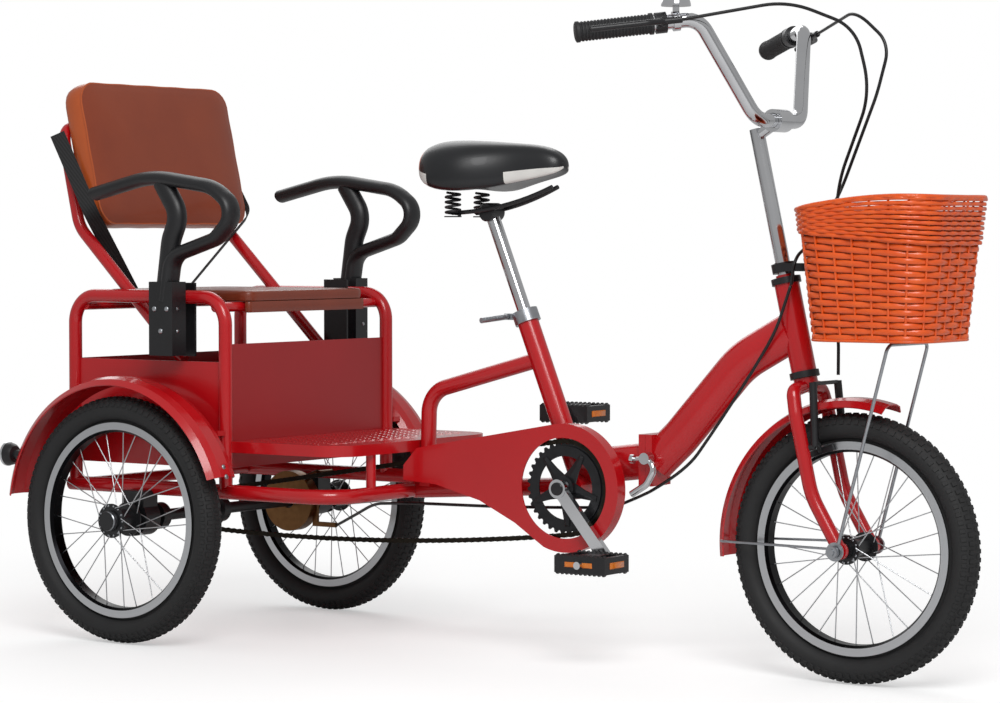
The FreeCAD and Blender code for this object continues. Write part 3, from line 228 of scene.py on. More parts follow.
def turned(profile, centre, axis, segments=32):
    """Points and faces of a profile of (distance along axis, radius) turned about the axis."""
    aim = Vector(axis).to_track_quat("Z", "Y").to_matrix()
    points, faces = [], []
    for step in range(segments):
        turn = 2 * math.pi * step / segments
        for along, radius in profile:
            local = Vector((radius * math.cos(turn), radius * math.sin(turn), along))
            points.append(Vector(centre) + aim @ local)
    count = len(profile)
    for step in range(segments):
        here, there = step * count, (step + 1) % segments * count
        faces += [(here + i, there + i, there + i + 1, here + i + 1) for i in range(count - 1)]
    return points, faces


def bolt(centre, axis, radius):
    """A low domed head standing on a surface."""
    height = radius * 0.55
    dome = [(height * math.sin(a), radius * math.cos(a)) for a in (0.0, 0.5, 1.0, 1.35, math.pi / 2)]
    return turned([(-0.5 * MM, radius)] + dome, centre, axis, 14)


# ---- Rivets and bolts ----
# Each arm is held by three zinc plated cup-head bolts through its base, and each rear mudguard by two
# rivets at its front end. The small rivets painted over in red on the hinge plates are not made here.
bright_heads = []
for side in (-1, 1):
    for x, z in ((58, 548), (84, 548), (71, 512)):
        bright_heads.append(bolt(at(x, side * 261.2, z), (0, side, 0), 4.6 * MM))
        bright_heads.append(bolt(at(96.2, side * 248.0, z), (1, 0, 0), 3.2 * MM))
    for angle in (14.0, 18.0):
        turn = math.radians(angle + 6.0)
        out = Vector((math.cos(turn), 0, math.sin(turn)))
        guard_middle = Vector((REAR_AXLE.x, side * REAR_WHEEL_Y, REAR_AXLE.z))
        bright_heads.append(bolt(guard_middle + out * 235.2 * MM, out, 4.2 * MM))
made("arm_and_guard_bolts", *joined(bright_heads), zinc, "rear_frame")

# ---- Rims and spokes ----
# Rolled aluminium box rims, brushed bright on the side walls and black in the bed between them, laced
# with plated steel spokes. The bed is told from the walls by which way the metal faces.
for wheel, axle in (("front", FRONT_AXLE), ("rear_right", REAR_AXLE), ("rear_left", REAR_AXLE)):
    rim_metal, shader = finish_named("brushed aluminium rim " + wheel, Metallic=1.0, Roughness=0.28)
    coords = add(rim_metal, "ShaderNodeTexCoord", {}, {})
    offset = add(rim_metal, "ShaderNodeVectorMath", {"operation": "SUBTRACT"}, {})
    rim_metal.node_tree.links.new(coords.outputs["Object"], offset.inputs[0])
    offset.inputs[1].default_value = (axle.x, 0.0, axle.z)
    flat = add(rim_metal, "ShaderNodeVectorMath", {"operation": "MULTIPLY"}, {})
    rim_metal.node_tree.links.new(offset.outputs["Vector"], flat.inputs[0])
    flat.inputs[1].default_value = (1.0, 0.0, 1.0)
    distance = add(rim_metal, "ShaderNodeVectorMath", {"operation": "LENGTH"}, {
        "Vector": flat.outputs["Vector"]})
    in_rim = add(rim_metal, "ShaderNodeMath", {"operation": "GREATER_THAN"}, {})
    rim_metal.node_tree.links.new(distance.outputs["Value"], in_rim.inputs[0])
    in_rim.inputs[1].default_value = 143.2 * MM
    facing = add(rim_metal, "ShaderNodeSeparateXYZ", {}, {"Vector": coords.outputs["Normal"]})
    sideways = add(rim_metal, "ShaderNodeMath", {"operation": "ABSOLUTE"}, {"Value": facing.outputs["Y"]})
    in_bed = add(rim_metal, "ShaderNodeMath", {"operation": "LESS_THAN"}, {})
    rim_metal.node_tree.links.new(sideways.outputs["Value"], in_bed.inputs[0])
    in_bed.inputs[1].default_value = 0.8
    dark = add(rim_metal, "ShaderNodeMath", {"operation": "MULTIPLY"}, {})
    rim_metal.node_tree.links.new(in_rim.outputs["Value"], dark.inputs[0])
    rim_metal.node_tree.links.new(in_bed.outputs["Value"], dark.inputs[1])
    lines = add(rim_metal, "ShaderNodeTexNoise", {}, {
        "Vector": distance.outputs["Value"], "Scale": PER_MM / 0.8, "Detail": 2.0})
    bright = add(rim_metal, "ShaderNodeMixRGB", {}, {
        "Fac": lines.outputs["Fac"], "Color1": linear("#b4b6ba"), "Color2": linear("#dcdee0")})
    colour = add(rim_metal, "ShaderNodeMixRGB", {}, {
        "Fac": dark.outputs["Value"], "Color1": bright.outputs["Color"], "Color2": linear("#141416")})
    feed(rim_metal, shader, Base_Color=colour.outputs["Color"])
    coat(rim_metal, wheel + "_rim")

# ---- Tyres ----
# Knobbly moulded rubber, 16 inch. A smooth, slightly dusty side wall with two moulded ridges runs up to
# five staggered rows of tread blocks. The blocks are about 13 mm apart round the tread.
tyre_rubber = surface("black tyre rubber", "#121213", "#242425", 30.0, 1.2, 0.25, 0.35, Roughness=0.68)
BLOCKS = 96
BLOCK_H = 2.4 * MM


def section_point(angle, width, height, lift):
    """A point of the tyre's oval section: across and out from the section's middle."""
    across, out = width * math.sin(angle), height * math.cos(angle)
    normal = Vector((math.sin(angle) / width, math.cos(angle) / height)).normalized()
    return across + normal.x * lift, out + normal.y * lift


for wheel, body in (("front", "front_wheel"), ("rear_right", "rear_wheel_right"),
                    ("rear_left", "rear_wheel_left")):
    low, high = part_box(wheel + "_tyre")
    middle = (low + high) / 2.0
    outer = (high.z - low.z) / 2.0
    seat_r = 160 * MM
    mid_r = (outer + seat_r) / 2.0
    width, height = (high.y - low.y) / 2.0 - 1.2 * MM, (outer - seat_r) / 2.0 - BLOCK_H + 0.6 * MM
    ring = [(-11 * MM, 153.6 * MM)]
    for step in range(19):
        angle = math.radians(-158 + 316 * step / 18.0)
        ridge = 0.5 * MM if step in (3, 5, 13, 15) else 0.0
        across, out = section_point(angle, width, height, ridge)
        ring.append((across, mid_r + out))
    ring.append((11 * MM, 153.6 * MM))
    tyre_shapes = [turned(ring, middle, (0, 1, 0), 120)]
    for row, (tilt, wide) in enumerate(((-66, 8), (-34, 8), (0, 7), (34, 8), (66, 8))):
        for block in range(BLOCKS):
            turn = 2 * math.pi * (block + (row % 2) * 0.5) / BLOCKS
            half_turn = 3.9 * MM / outer
            corners = []
            for lift, shrink in ((-0.6 * MM, 1.0), (BLOCK_H - 0.6 * MM, 0.78)):
                for way, edge in ((-1, -1), (1, -1), (1, 1), (-1, 1)):
                    angle = math.radians(tilt) + edge * shrink * wide * MM / 2.0 / height
                    across, out = section_point(angle, width, height, lift)
                    swing = turn + way * half_turn * shrink
                    corners.append(middle + Vector(((mid_r + out) * math.cos(swing), across,
                                                    (mid_r + out) * math.sin(swing))))
            tyre_shapes.append((corners, [(4, 5, 6, 7)] + [(i, (i + 1) % 4, 4 + (i + 1) % 4, 4 + i)
                                                           for i in range(4)]))
    tyre = made(wheel + "_knobbly_tyre", *joined(tyre_shapes), tyre_rubber, body, 40.0)
    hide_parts(wheel + "_tyre")

# ---- Hub ends ----
# The rear axle ends in zinc plated caps with a key hole, square on the trike and a round recess here, and
# each hub flange carries the bent heads of its spokes round its edge.
for side in (-1, 1):
    end = Vector((REAR_AXLE.x, side * 315.4 * MM, REAR_AXLE.z))
    cap = turned([(-9 * MM, 16 * MM), (-2.5 * MM, 16 * MM), (-0.6 * MM, 14.5 * MM), (0.0, 12 * MM),
                  (0.0, 6.5 * MM), (-4 * MM, 6.0 * MM), (-4 * MM, 0.0)], end, (0, side, 0), 40)
    made("axle_cap_right" if side < 0 else "axle_cap_left", *cap, zinc, "rear_wheel_left")
for body, axle_y, flanges, radius in (("rear_wheel_right", -275.5, (-304.0, -261.0), 24.5),
                                      ("rear_wheel_left", 275.5, (261.0, 304.0), 24.5),
                                      ("front_wheel", 0.0, (-30.6, 30.6), 18.5)):
    axle = FRONT_AXLE if body == "front_wheel" else REAR_AXLE
    heads = []
    for flange in flanges:
        way = 1 if flange > axle_y else -1
        for spoke in range(14):
            turn = 2 * math.pi * spoke / 14.0
            spot = Vector((axle.x + radius * MM * math.cos(turn), flange * MM,
                           axle.z + radius * MM * math.sin(turn)))
            heads.append(bolt(spot, (0, way, 0), 1.8 * MM))
    made(body + "_spoke_heads", *joined(heads), zinc, body)

# ---- Chain and chainring ----
# A half-inch roller chain of blackened, oiled steel, with plates in pairs over rollers 12.7 mm apart. Its
# lower run hangs a little slack. The chainring is stamped black steel: teeth, a rim and five blades.
oiled_steel = surface("oiled black chain steel", "#16130f", "#3a342c", 7.0, 1.0, 0.1, 0.2,
                      Metallic=0.9, Roughness=0.38)
RING_R, SPROCKET_R, SAG_R, PITCH = 73.5 * MM, 32.4 * MM, 4.6, 12.7 * MM
small_c = Vector((REAR_AXLE.x, REAR_AXLE.z))
ring_c = Vector((CRANK_AXLE.x, CRANK_AXLE.z))
span = ring_c - small_c
unit = span.normalized()
up = Vector((-unit.y, unit.x))
lean = (SPROCKET_R - RING_R) / span.length
top_way = up * math.sqrt(1 - lean * lean) + unit * lean
to_s, to_b = SAG_R - SPROCKET_R, SAG_R - RING_R
along = (to_s ** 2 - to_b ** 2 + span.length ** 2) / (2 * span.length)
sag_c = small_c + unit * along + up * math.sqrt(to_s ** 2 - along ** 2)
low_small_way = (small_c - sag_c).normalized()
low_big_way = (ring_c - sag_c).normalized()


def arc_points(centre, radius, start, end, step):
    """Points on an arc from one direction to another, turning clockwise when step is negative."""
    first, last = math.atan2(start.y, start.x), math.atan2(end.y, end.x)
    while (last - first) * step < 0:
        last += math.copysign(2 * math.pi, step)
    count = max(2, int(abs(last - first) * radius / (2 * MM)))
    return [centre + Vector((math.cos(first + (last - first) * i / count),
                             math.sin(first + (last - first) * i / count))) * radius for i in range(count + 1)]


loop = [small_c + top_way * SPROCKET_R]
loop += arc_points(ring_c, RING_R, top_way, low_big_way, -1)
loop += arc_points(sag_c, SAG_R, low_big_way, low_small_way, -1)
loop += arc_points(small_c, SPROCKET_R, low_small_way, top_way, -1)
lengths = [0.0]
for first, second in zip(loop[:-1], loop[1:]):
    lengths.append(lengths[-1] + (second - first).length)
links = 2 * round(lengths[-1] / PITCH / 2.0)
pins, spot = [], 0
for link in range(links):
    target = lengths[-1] * link / links
    while lengths[spot + 1] < target:
        spot += 1
    share = (target - lengths[spot]) / (lengths[spot + 1] - lengths[spot])
    pins.append(loop[spot].lerp(loop[spot + 1], share))
CHAIN_Y = -46 * MM
chain_shapes = []
for index, pin in enumerate(pins):
    nxt = pins[(index + 1) % links]
    way = (nxt - pin).normalized()
    lift = Vector((-way.y, way.x))
    roller = [(-2.4 * MM, 0.0), (-2.4 * MM, 3.9 * MM), (2.4 * MM, 3.9 * MM), (2.4 * MM, 0.0)]
    chain_shapes.append(turned(roller, (pin.x, CHAIN_Y, pin.y), (0, 1, 0), 8))
    for side in (-1, 1):
        y = CHAIN_Y + side * (3.0 if index % 2 else 2.5) * MM
        outline = [pin - way * 4 * MM, pin + lift * 4.1 * MM, nxt + lift * 4.1 * MM, nxt + way * 4 * MM,
                   nxt - lift * 4.1 * MM, pin - lift * 4.1 * MM]
        middle_up = (pin + nxt) / 2 + lift * 3.0 * MM
        middle_down = (pin + nxt) / 2 - lift * 3.0 * MM
        outline = outline[:2] + [middle_up] + outline[2:5] + [middle_down] + outline[5:]
        near = [Vector((p.x, y, p.y)) for p in outline]
        far = [Vector((p.x, y + side * 0.5 * MM, p.y)) for p in outline]
        count = len(outline)
        sides = [(i, (i + 1) % count, count + (i + 1) % count, count + i) for i in range(count)]
        chain_shapes.append((near + far, sides + [tuple(range(count)), tuple(range(count, 2 * count))]))
chain = made("roller_chain", *joined(chain_shapes), oiled_steel, "rear_frame")
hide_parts("drive_chain")

ring_enamel = surface("black stamped steel", "#121214", "#2a2b2e", 15.0, 1.5, 0.1, 0.15,
                      Metallic=0.4, Roughness=0.34)
TEETH = 36


def flat_ring(outline, inner_r, y0, y1):
    """A plate between an outer outline of radii and a round hole."""
    count = len(outline)
    points = []
    for y in (y0, y1):
        for index, radius in enumerate(outline):
            turn = 2 * math.pi * index / count
            points.append(Vector((ring_c.x + radius * math.cos(turn), y, ring_c.y + radius * math.sin(turn))))
        for index in range(count):
            turn = 2 * math.pi * index / count
            points.append(Vector((ring_c.x + inner_r * math.cos(turn), y, ring_c.y + inner_r * math.sin(turn))))
    faces = []
    for i in range(count):
        j = (i + 1) % count
        faces += [(i, j, count + j, count + i), (2 * count + i, 2 * count + j, 3 * count + j, 3 * count + i),
                  (i, j, 2 * count + j, 2 * count + i), (count + i, count + j, 3 * count + j, 3 * count + i)]
    return points, faces


tooth_line = [(68.6 if step % 4 in (0, 3) else 73.6) * MM for step in range(TEETH * 4)]
ring_shapes = [flat_ring(tooth_line, 58 * MM, CHAIN_Y - 1.2 * MM, CHAIN_Y + 1.2 * MM),
               flat_ring([66 * MM] * 96, 50 * MM, CHAIN_Y - 4.2 * MM, CHAIN_Y - 1.8 * MM),
               turned([(-3 * MM, 8.6 * MM), (-3 * MM, 20 * MM), (8 * MM, 20 * MM), (10 * MM, 8.6 * MM)],
                      (ring_c.x, CHAIN_Y - 5 * MM, ring_c.y), (0, -1, 0), 36)]
for blade in range(5):
    turn = math.radians(-50 + 36 + 72 * blade)
    out, square = Vector((math.cos(turn), math.sin(turn))), Vector((-math.sin(turn), math.cos(turn)))
    plan = [out * 12 + square * 13, out * 34 + square * 7.5, out * 60 + square * 4.0, out * 60 - square * 4.0,
            out * 34 - square * 7.5, out * 12 - square * 13]
    blade_points = [Vector((ring_c.x + p.x * MM, CHAIN_Y - 2.4 * MM, ring_c.y + p.y * MM)) for p in plan]
    blade_points += [Vector((p.x, CHAIN_Y - 5.6 * MM, p.z)) for p in blade_points]
    ridge = [Vector((ring_c.x + out.x * r * MM, CHAIN_Y - 8.4 * MM, ring_c.y + out.y * r * MM)) for r in (13, 36, 57)]
    faces = [(i, (i + 1) % 6, 6 + (i + 1) % 6, 6 + i) for i in range(6)] + [
        (6, 7, 13, 12), (7, 8, 14, 13), (8, 9, 14), (9, 10, 13, 14), (10, 11, 12, 13), (11, 6, 12)]
    ring_shapes.append((blade_points + ridge, faces))
star = made("star_chainring", *joined(ring_shapes), ring_enamel, "crank", 25.0)
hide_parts("chainring")
dust_cap = turned([(0.0, 10.5 * MM), (2.5 * MM, 10 * MM), (3.6 * MM, 6 * MM), (3.8 * MM, 0.0)],
                  (ring_c.x, -73.8 * MM, ring_c.y), (0, -1, 0), 28)
dust_cap_left = turned([(0.0, 10.5 * MM), (2.5 * MM, 10 * MM), (3.6 * MM, 6 * MM), (3.8 * MM, 0.0)],
                       (ring_c.x, 73.8 * MM, ring_c.y), (0, 1, 0), 28)
made("crank_dust_caps", *joined([dust_cap, dust_cap_left]), black_enamel, "crank")

# ---- Moulded plastic: arms, levers and pedals ----
# Glass-filled polypropylene from a spark-eroded mould: even satin black with a very fine grain. The
# pedals have saw teeth along both edges and an amber reflector let into each end face.
moulded = surface("moulded black polypropylene", "#121214", "#1d1d20", 60.0, 1.0, 0.12, 0.22, Roughness=0.40)
coat(moulded, "armrest_right", "armrest_left", "brake_levers", "pedal_right", "pedal_left")
amber = surface("amber acrylic reflector", "#c25a08", "#e8861a", 6.0, 2.0, 0.5, 0.6,
                Roughness=0.18, Coat_Weight=0.6)
for side, body, node in ((-1, "right_pedal", "pedal_right"), (1, "left_pedal", "pedal_left")):
    low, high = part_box(node)
    middle = (low + high) / 2.0
    saw = []
    for edge_y in (low.y + 4.5 * MM, high.y - 4.5 * MM):
        for step in range(11):
            x = low.x + (high.x - low.x) * (step + 0.5) / 11.0
            for z, way in ((high.z, 1), (low.z, -1)):
                half = 3.0 * MM
                base = [Vector((x - half, edge_y - 4 * MM, z)), Vector((x + half, edge_y - 4 * MM, z)),
                        Vector((x + half, edge_y + 4 * MM, z)), Vector((x - half, edge_y + 4 * MM, z))]
                tip = [Vector((x, edge_y - 3 * MM, z + way * 3 * MM)),
                       Vector((x, edge_y + 3 * MM, z + way * 3 * MM))]
                saw.append((base + tip, [(0, 1, 4), (1, 2, 5, 4), (2, 3, 5), (3, 0, 4, 5)]))
    made(node + "_teeth", *joined(saw), moulded, body)
    lenses = []
    for x, way in ((low.x, -1), (high.x, 1)):
        lenses.append(([Vector((x + way * 0.2 * MM, y, z)) for y, z in (
            (middle.y - 20 * MM, middle.z - 5 * MM), (middle.y + 20 * MM, middle.z - 5 * MM),
            (middle.y + 20 * MM, middle.z + 5 * MM), (middle.y - 20 * MM, middle.z + 5 * MM))]
            + [Vector((x + way * 1.6 * MM, y, z)) for y, z in (
                (middle.y - 18 * MM, middle.z - 4 * MM), (middle.y + 18 * MM, middle.z - 4 * MM),
                (middle.y + 18 * MM, middle.z + 4 * MM), (middle.y - 18 * MM, middle.z + 4 * MM))],
            [(4, 5, 6, 7)] + [(i, (i + 1) % 4, 4 + (i + 1) % 4, 4 + i) for i in range(4)]))
    outer_y = low.y if side < 0 else high.y
    for shift in (-18, 14):
        x = middle.x + shift * MM
        lenses.append(([Vector((x + dx * MM, outer_y + side * dy * MM, middle.z + dz * MM)) for dx, dy, dz in (
            (-9, 0.2, -4), (9, 0.2, -4), (9, 0.2, 4), (-9, 0.2, 4), (-8, 1.4, -3), (8, 1.4, -3), (8, 1.4, 3),
            (-8, 1.4, 3))], [(4, 5, 6, 7)] + [(i, (i + 1) % 4, 4 + (i + 1) % 4, 4 + i) for i in range(4)]))
    made(node + "_reflectors", *joined(lenses), amber, body)

# ---- Handlebar grips ----
# Extruded thermoplastic rubber sleeves, closed at the end, with ribs round them 5 mm apart and a raised
# collar at each end. Dull, and darker in the grooves.
grip_rubber = surface("black grip rubber", "#161617", "#29292b", 20.0, 0.9, 0.15, 0.3, Roughness=0.62)
grip_shapes = []
for side in (-1, 1):
    inner, outer_end = at(1026, side * 158, 986), at(893, side * 279, 965)
    way = (outer_end - inner).normalized()
    base = outer_end - way * 112 * MM
    profile = [(0.0, 11.6 * MM), (0.0, 16.0 * MM), (5 * MM, 16.0 * MM), (6 * MM, 14.2 * MM)]
    rib = 8.0
    while rib < 106.0:
        profile += [(rib * MM, 13.6 * MM), ((rib + 1) * MM, 14.8 * MM), ((rib + 3) * MM, 14.8 * MM),
                    ((rib + 4) * MM, 13.6 * MM)]
        rib += 5.0
    profile += [(109 * MM, 14.2 * MM), (110 * MM, 15.6 * MM), (114.5 * MM, 15.6 * MM), (116 * MM, 13 * MM),
                (116 * MM, 0.0)]
    grip_shapes.append(turned(profile, base, way, 36))
grips = made("ribbed_grips", *joined(grip_shapes), grip_rubber, "steered_fork")
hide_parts("grips")

# ---- Padded passenger seat ----
# Foam on a plywood board under PVC leatherette. The backrest has a welted edge between its dark brown
# face and an orange-brown side band, and both swell a little between their edges.
brown_face = surface("dark brown PVC leatherette", "#7d3118", "#94401f", 90.0, 1.6, 0.3, 0.30,
                     Roughness=0.38, Coat_Weight=0.12)
brown_band = surface("orange-brown PVC leatherette", "#a8481b", "#c25c26", 70.0, 1.6, 0.3, 0.30,
                     Roughness=0.36, Coat_Weight=0.15)
board_face = surface("brown PVC leatherette board cover", "#6e2b18", "#86391f", 80.0, 1.6, 0.3, 0.25,
                     Roughness=0.34, Coat_Weight=0.15)


def rounded_outline(half_a, half_b, corner, count):
    """Points round a rectangle with round corners, evenly spread."""
    corner = max(min(corner, half_a, half_b), 1e-4)
    straight_a, straight_b = 2 * (half_a - corner), 2 * (half_b - corner)
    quarter = math.pi * corner / 2
    total = 2 * (straight_a + straight_b) + 4 * quarter
    points = []
    for index in range(count):
        s = total * index / count
        spot = Vector((half_a, -half_b + corner))
        for way, straight, turn in ((Vector((0, 1)), straight_b, 0), (Vector((-1, 0)), straight_a, 1),
                                    (Vector((0, -1)), straight_b, 2), (Vector((1, 0)), straight_a, 3)):
            if s <= straight:
                spot = spot + way * s
                break
            spot = spot + way * straight
            s -= straight
            normal = Vector((way.y, -way.x))
            centre = spot - normal * corner
            if s <= quarter:
                angle = s / corner
                spot = centre + normal * corner * math.cos(angle) + way * corner * math.sin(angle)
                break
            spot = centre + way * corner
            s -= quarter
        points.append(spot)
    return points


def stuffed(name, half_a, half_b, corner, rings, place, materials, split, body, waves=0.0):
    """A pad from rings of (inset, depth) in mm; faces from ring number split on take the second material."""
    count = 120
    points, faces = [], []
    for inset, depth in rings:
        outline = rounded_outline(half_a - inset * MM, half_b - inset * MM, corner - inset * MM * 0.6, count)
        for index, spot in enumerate(outline):
            ripple = waves * MM * math.sin(index * 0.9) * math.sin(depth * 0.12) if inset < 3 else 0.0
            spot = spot * (1.0 + ripple / max(half_a, half_b))
            points.append(place @ Vector((spot.x, spot.y, depth * MM)))
    for ring_index in range(len(rings) - 1):
        for index in range(count):
            here, there = ring_index * count, (ring_index + 1) * count
            nxt = (index + 1) % count
            faces.append((here + index, here + nxt, there + nxt, there + index))
    faces.append(tuple(range(count))[::-1])
    last = (len(rings) - 1) * count
    faces.append(tuple(range(last, last + count)))
    pad = made(name, points, faces, materials, body, 50.0)
    for polygon in pad.data.polygons:
        ring_index = min(polygon.vertices) // count
        polygon.material_index = 1 if len(materials) > 1 and ring_index >= split else 0
    return pad


back_tilt = math.radians(12.8)
face_way = Vector((math.cos(back_tilt), 0, math.sin(back_tilt)))
up_way = Vector((-math.sin(back_tilt), 0, math.cos(back_tilt)))
pad_middle = at(-114, 0, 688) + up_way * 121.5 * MM - face_way * 45 * MM
back_place = Matrix((
    (0, up_way.x, face_way.x, pad_middle.x), (1, 0, 0, 0),
    (0, up_way.z, face_way.z, pad_middle.z), (0, 0, 0, 1)))
back_rings = [(60, 0.5), (12, 0.5), (3, 2), (0.5, 5), (-1.5, 12), (-2.5, 22), (-1.5, 32), (0.0, 38), (0.6, 39),
              (-1.2, 40.2), (-1.2, 41.6), (0.8, 42.4), (2.5, 42.6), (7, 44.2), (16, 46), (34, 48), (60, 49.5), (90, 50.3),
              (112, 50.6)]
backrest = stuffed("backrest_pad", 190 * MM, 121.5 * MM, 34 * MM, back_rings, back_place, [brown_band, brown_face],
                   11, "rear_frame", 0.5)
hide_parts("backrest_cushion")

seat_low, seat_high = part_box("passenger_seat")
seat_place = Matrix.Translation(((seat_low.x + seat_high.x) / 2, 0, seat_high.z - 18 * MM))
seat_rings = [(40, 0.2), (4, 0.2), (0.8, 1.5), (0.0, 5), (0.0, 13), (0.8, 15.6), (3, 17.2), (8, 17.9), (30, 18.0),
              (90, 18.0), (140, 18.0)]
seat = stuffed("passenger_board_pad", (seat_high.x - seat_low.x) / 2, seat_high.y, 14 * MM, seat_rings, seat_place,
               [board_face], 99, "rear_frame")
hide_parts("passenger_seat")
lip_place = Matrix.Translation((seat_high.x - 5.5 * MM, 0, seat_low.z))
lip_rings = [(5, 0.0), (1, 0.3), (0.0, 2.0), (0.0, 17.0), (0.6, 18.2)]
stuffed("passenger_board_lip", 5.5 * MM, seat_high.y, 3 * MM, lip_rings, lip_place, [board_face], 99, "rear_frame")

# ---- Saddle ----
# A sprung saddle: foam under stretched black leatherette with a lightly dished top, orange side panels
# at the back and a white moulded edge under its tail and its nose.
saddle_black = surface("black stretched leatherette", "#0e0f11", "#1c1d21", 60.0, 1.3, 0.25, 0.25,
                       Roughness=0.36, Coat_Weight=0.1)
saddle_orange = surface("orange leatherette side panel", "#c44a16", "#e0642a", 30.0, 1.3, 0.25, 0.25,
                        Roughness=0.36)
saddle_white = surface("white moulded edge", "#d4d2ce", "#eceae6", 30.0, 1.3, 0.2, 0.15, Roughness=0.36)
STATIONS = [
    (440, 40, 772, 796), (446, 62, 764, 806), (458, 80, 752, 814), (480, 93, 741, 819.5), (510, 94, 736, 820),
    (540, 84, 737, 818.5), (570, 64, 741, 816), (600, 46, 747, 814), (630, 35, 753, 811.5), (655, 29, 758, 807),
    (674, 23, 763, 799), (684, 15, 768, 790), (688, 6, 774, 782)]
ACROSS = [(-0.90, 0.0), (-1.0, 0.10), (-1.02, 0.30), (-1.0, 0.52), (-0.90, 0.74), (-0.72, 0.90), (-0.45, 0.985),
          (-0.18, 1.0), (0.0, 0.985), (0.18, 1.0), (0.45, 0.985), (0.72, 0.90), (0.90, 0.74), (1.0, 0.52),
          (1.02, 0.30), (1.0, 0.10), (0.90, 0.0), (0.5, 0.04), (0.0, 0.06), (-0.5, 0.04)]
points, faces, which = [], [], []
for x, half, low_z, top_z in STATIONS:
    points += [at(x, half * across, low_z + (top_z - low_z) * rise) for across, rise in ACROSS]
count = len(ACROSS)
for station in range(len(STATIONS) - 1):
    x = STATIONS[station][0]
    for index in range(count):
        nxt = (index + 1) % count
        faces.append((station * count + index, (station + 1) * count + index,
                      (station + 1) * count + nxt, station * count + nxt))
        low_band = index in (0, 1, 14, 15)
        side_band = index in (2, 3, 4, 11, 12, 13)
        tail, nose = x < 475, x > 598
        which.append(2 if low_band and (tail or nose) else 1 if side_band and x < 455 else 0)
faces += [tuple(range(count)), tuple(range((len(STATIONS) - 1) * count, len(STATIONS) * count))[::-1]]
which += [2, 0]
saddle = made("sprung_saddle", points, faces, [saddle_black, saddle_orange, saddle_white], "saddle_post", 180.0)
for polygon, number in zip(saddle.data.polygons, which):
    polygon.material_index = number
smooth = saddle.modifiers.new("smooth", "SUBSURF")
smooth.levels = smooth.render_levels = 2
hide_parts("saddle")


def tube_shape(route, radius, sides=10):
    """Points and faces of a round bar along a list of points."""
    points, faces = [], []
    normal = None
    for index, spot in enumerate(route):
        ahead = (route[min(index + 1, len(route) - 1)] - route[max(index - 1, 0)]).normalized()
        if normal is None:
            normal = ahead.orthogonal().normalized()
        normal = (normal - ahead * normal.dot(ahead)).normalized()
        side = ahead.cross(normal)
        for step in range(sides):
            turn = 2 * math.pi * step / sides
            points.append(spot + (normal * math.cos(turn) + side * math.sin(turn)) * radius)
    for index in range(len(route) - 1):
        for step in range(sides):
            nxt = (step + 1) % sides
            faces.append((index * sides + step, index * sides + nxt, (index + 1) * sides + nxt,
                          (index + 1) * sides + step))
    last = (len(route) - 1) * sides
    faces += [tuple(range(sides))[::-1], tuple(range(last, last + sides))]
    return points, faces


# ---- Saddle clamp and springs ----
# Black steel rails bent from bar run from the clamp to the nose and to two coil springs of 4 mm wire
# that carry the tail.
post_top = Vector((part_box("seat_post")[0].x, 0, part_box("seat_post")[1].z)) + Vector((11 * MM, 0, -3 * MM))
under = [turned([(-17 * MM, 0.0), (-17 * MM, 13 * MM), (-15 * MM, 15 * MM), (15 * MM, 15 * MM), (17 * MM, 13 * MM),
                 (17 * MM, 0.0)], post_top + Vector((-4 * MM, 0, 9 * MM)), (0, 1, 0), 30)]
for side in (-1, 1):
    nose = Vector((post_top.x + 118 * MM, side * 8 * MM, 744 * MM))
    bend = Vector((post_top.x + 30 * MM, side * 15 * MM, post_top.z + 10 * MM))
    tail = Vector((post_top.x - 58 * MM, side * 34 * MM, post_top.z + 8 * MM))
    curve = []
    for step in range(17):
        t = step / 16.0
        curve.append(nose * (1 - t) ** 2 + bend * 2 * t * (1 - t) + tail * t * t)
    under.append(tube_shape(curve, 3.6 * MM))
    foot = Vector((post_top.x - 52 * MM, side * 40 * MM, post_top.z + 4 * MM))
    tall = 736 * MM - foot.z
    coil = []
    for step in range(110):
        turn = 2 * math.pi * 4.5 * step / 109.0
        coil.append(foot + Vector((11.5 * MM * math.cos(turn), 11.5 * MM * math.sin(turn),
                                   tall * step / 109.0)))
    under.append(tube_shape(coil, 2.1 * MM, 8))
    under.append(turned([(0.0, 0.0), (0.0, 14 * MM), (2 * MM, 14 * MM), (2 * MM, 0.0)], foot - Vector((0, 0, 3 * MM)),
                        (0, 0, 1), 24))
carrier = made("saddle_springs", *joined(under), black_enamel, "saddle_post")
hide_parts("saddle_carrier")

# ---- Basket ----
# Woven from flat orange polythene cane. The body is a coarse weave, rows 9 mm high going over and under
# stakes about 30 mm apart. A finer band of 6 mm rows is turned down over it from the rim.
cane = surface("orange polythene cane", "#d8470f", "#f0681f", 24.0, 1.2, 0.15, 0.2,
               Roughness=0.32, Coat_Weight=0.2)
# A darker copy of the cane colour for the sheet inside the weave: painted shade.
painted_shade_cane = surface("orange cane in the weave's shade", "#7c2206", "#943010", 24.0, 1.2, 0.15, 0.2,
                     Roughness=0.5)
LIP_OUT = 4 * MM
basket_low, basket_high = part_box("basket")
basket_mid = (basket_low + basket_high) / 2.0
half_a = (basket_high.x - basket_low.x) / 2.0 - LIP_OUT
half_b = (basket_high.y - basket_low.y) / 2.0 - LIP_OUT
TAPER, CORNER, BODY_ROW, LIP_ROW, STAKES = 20 * MM, 55 * MM, 9.3 * MM, 6.2 * MM, 26
AROUND = STAKES * 6


def share_of_height(z):
    return (z - basket_low.z) / (basket_high.z - basket_low.z)


def basket_outline(z, grow):
    inset = TAPER * (1 - share_of_height(z)) - grow
    return rounded_outline(half_a - inset, half_b - inset, CORNER - inset * 0.5, AROUND)


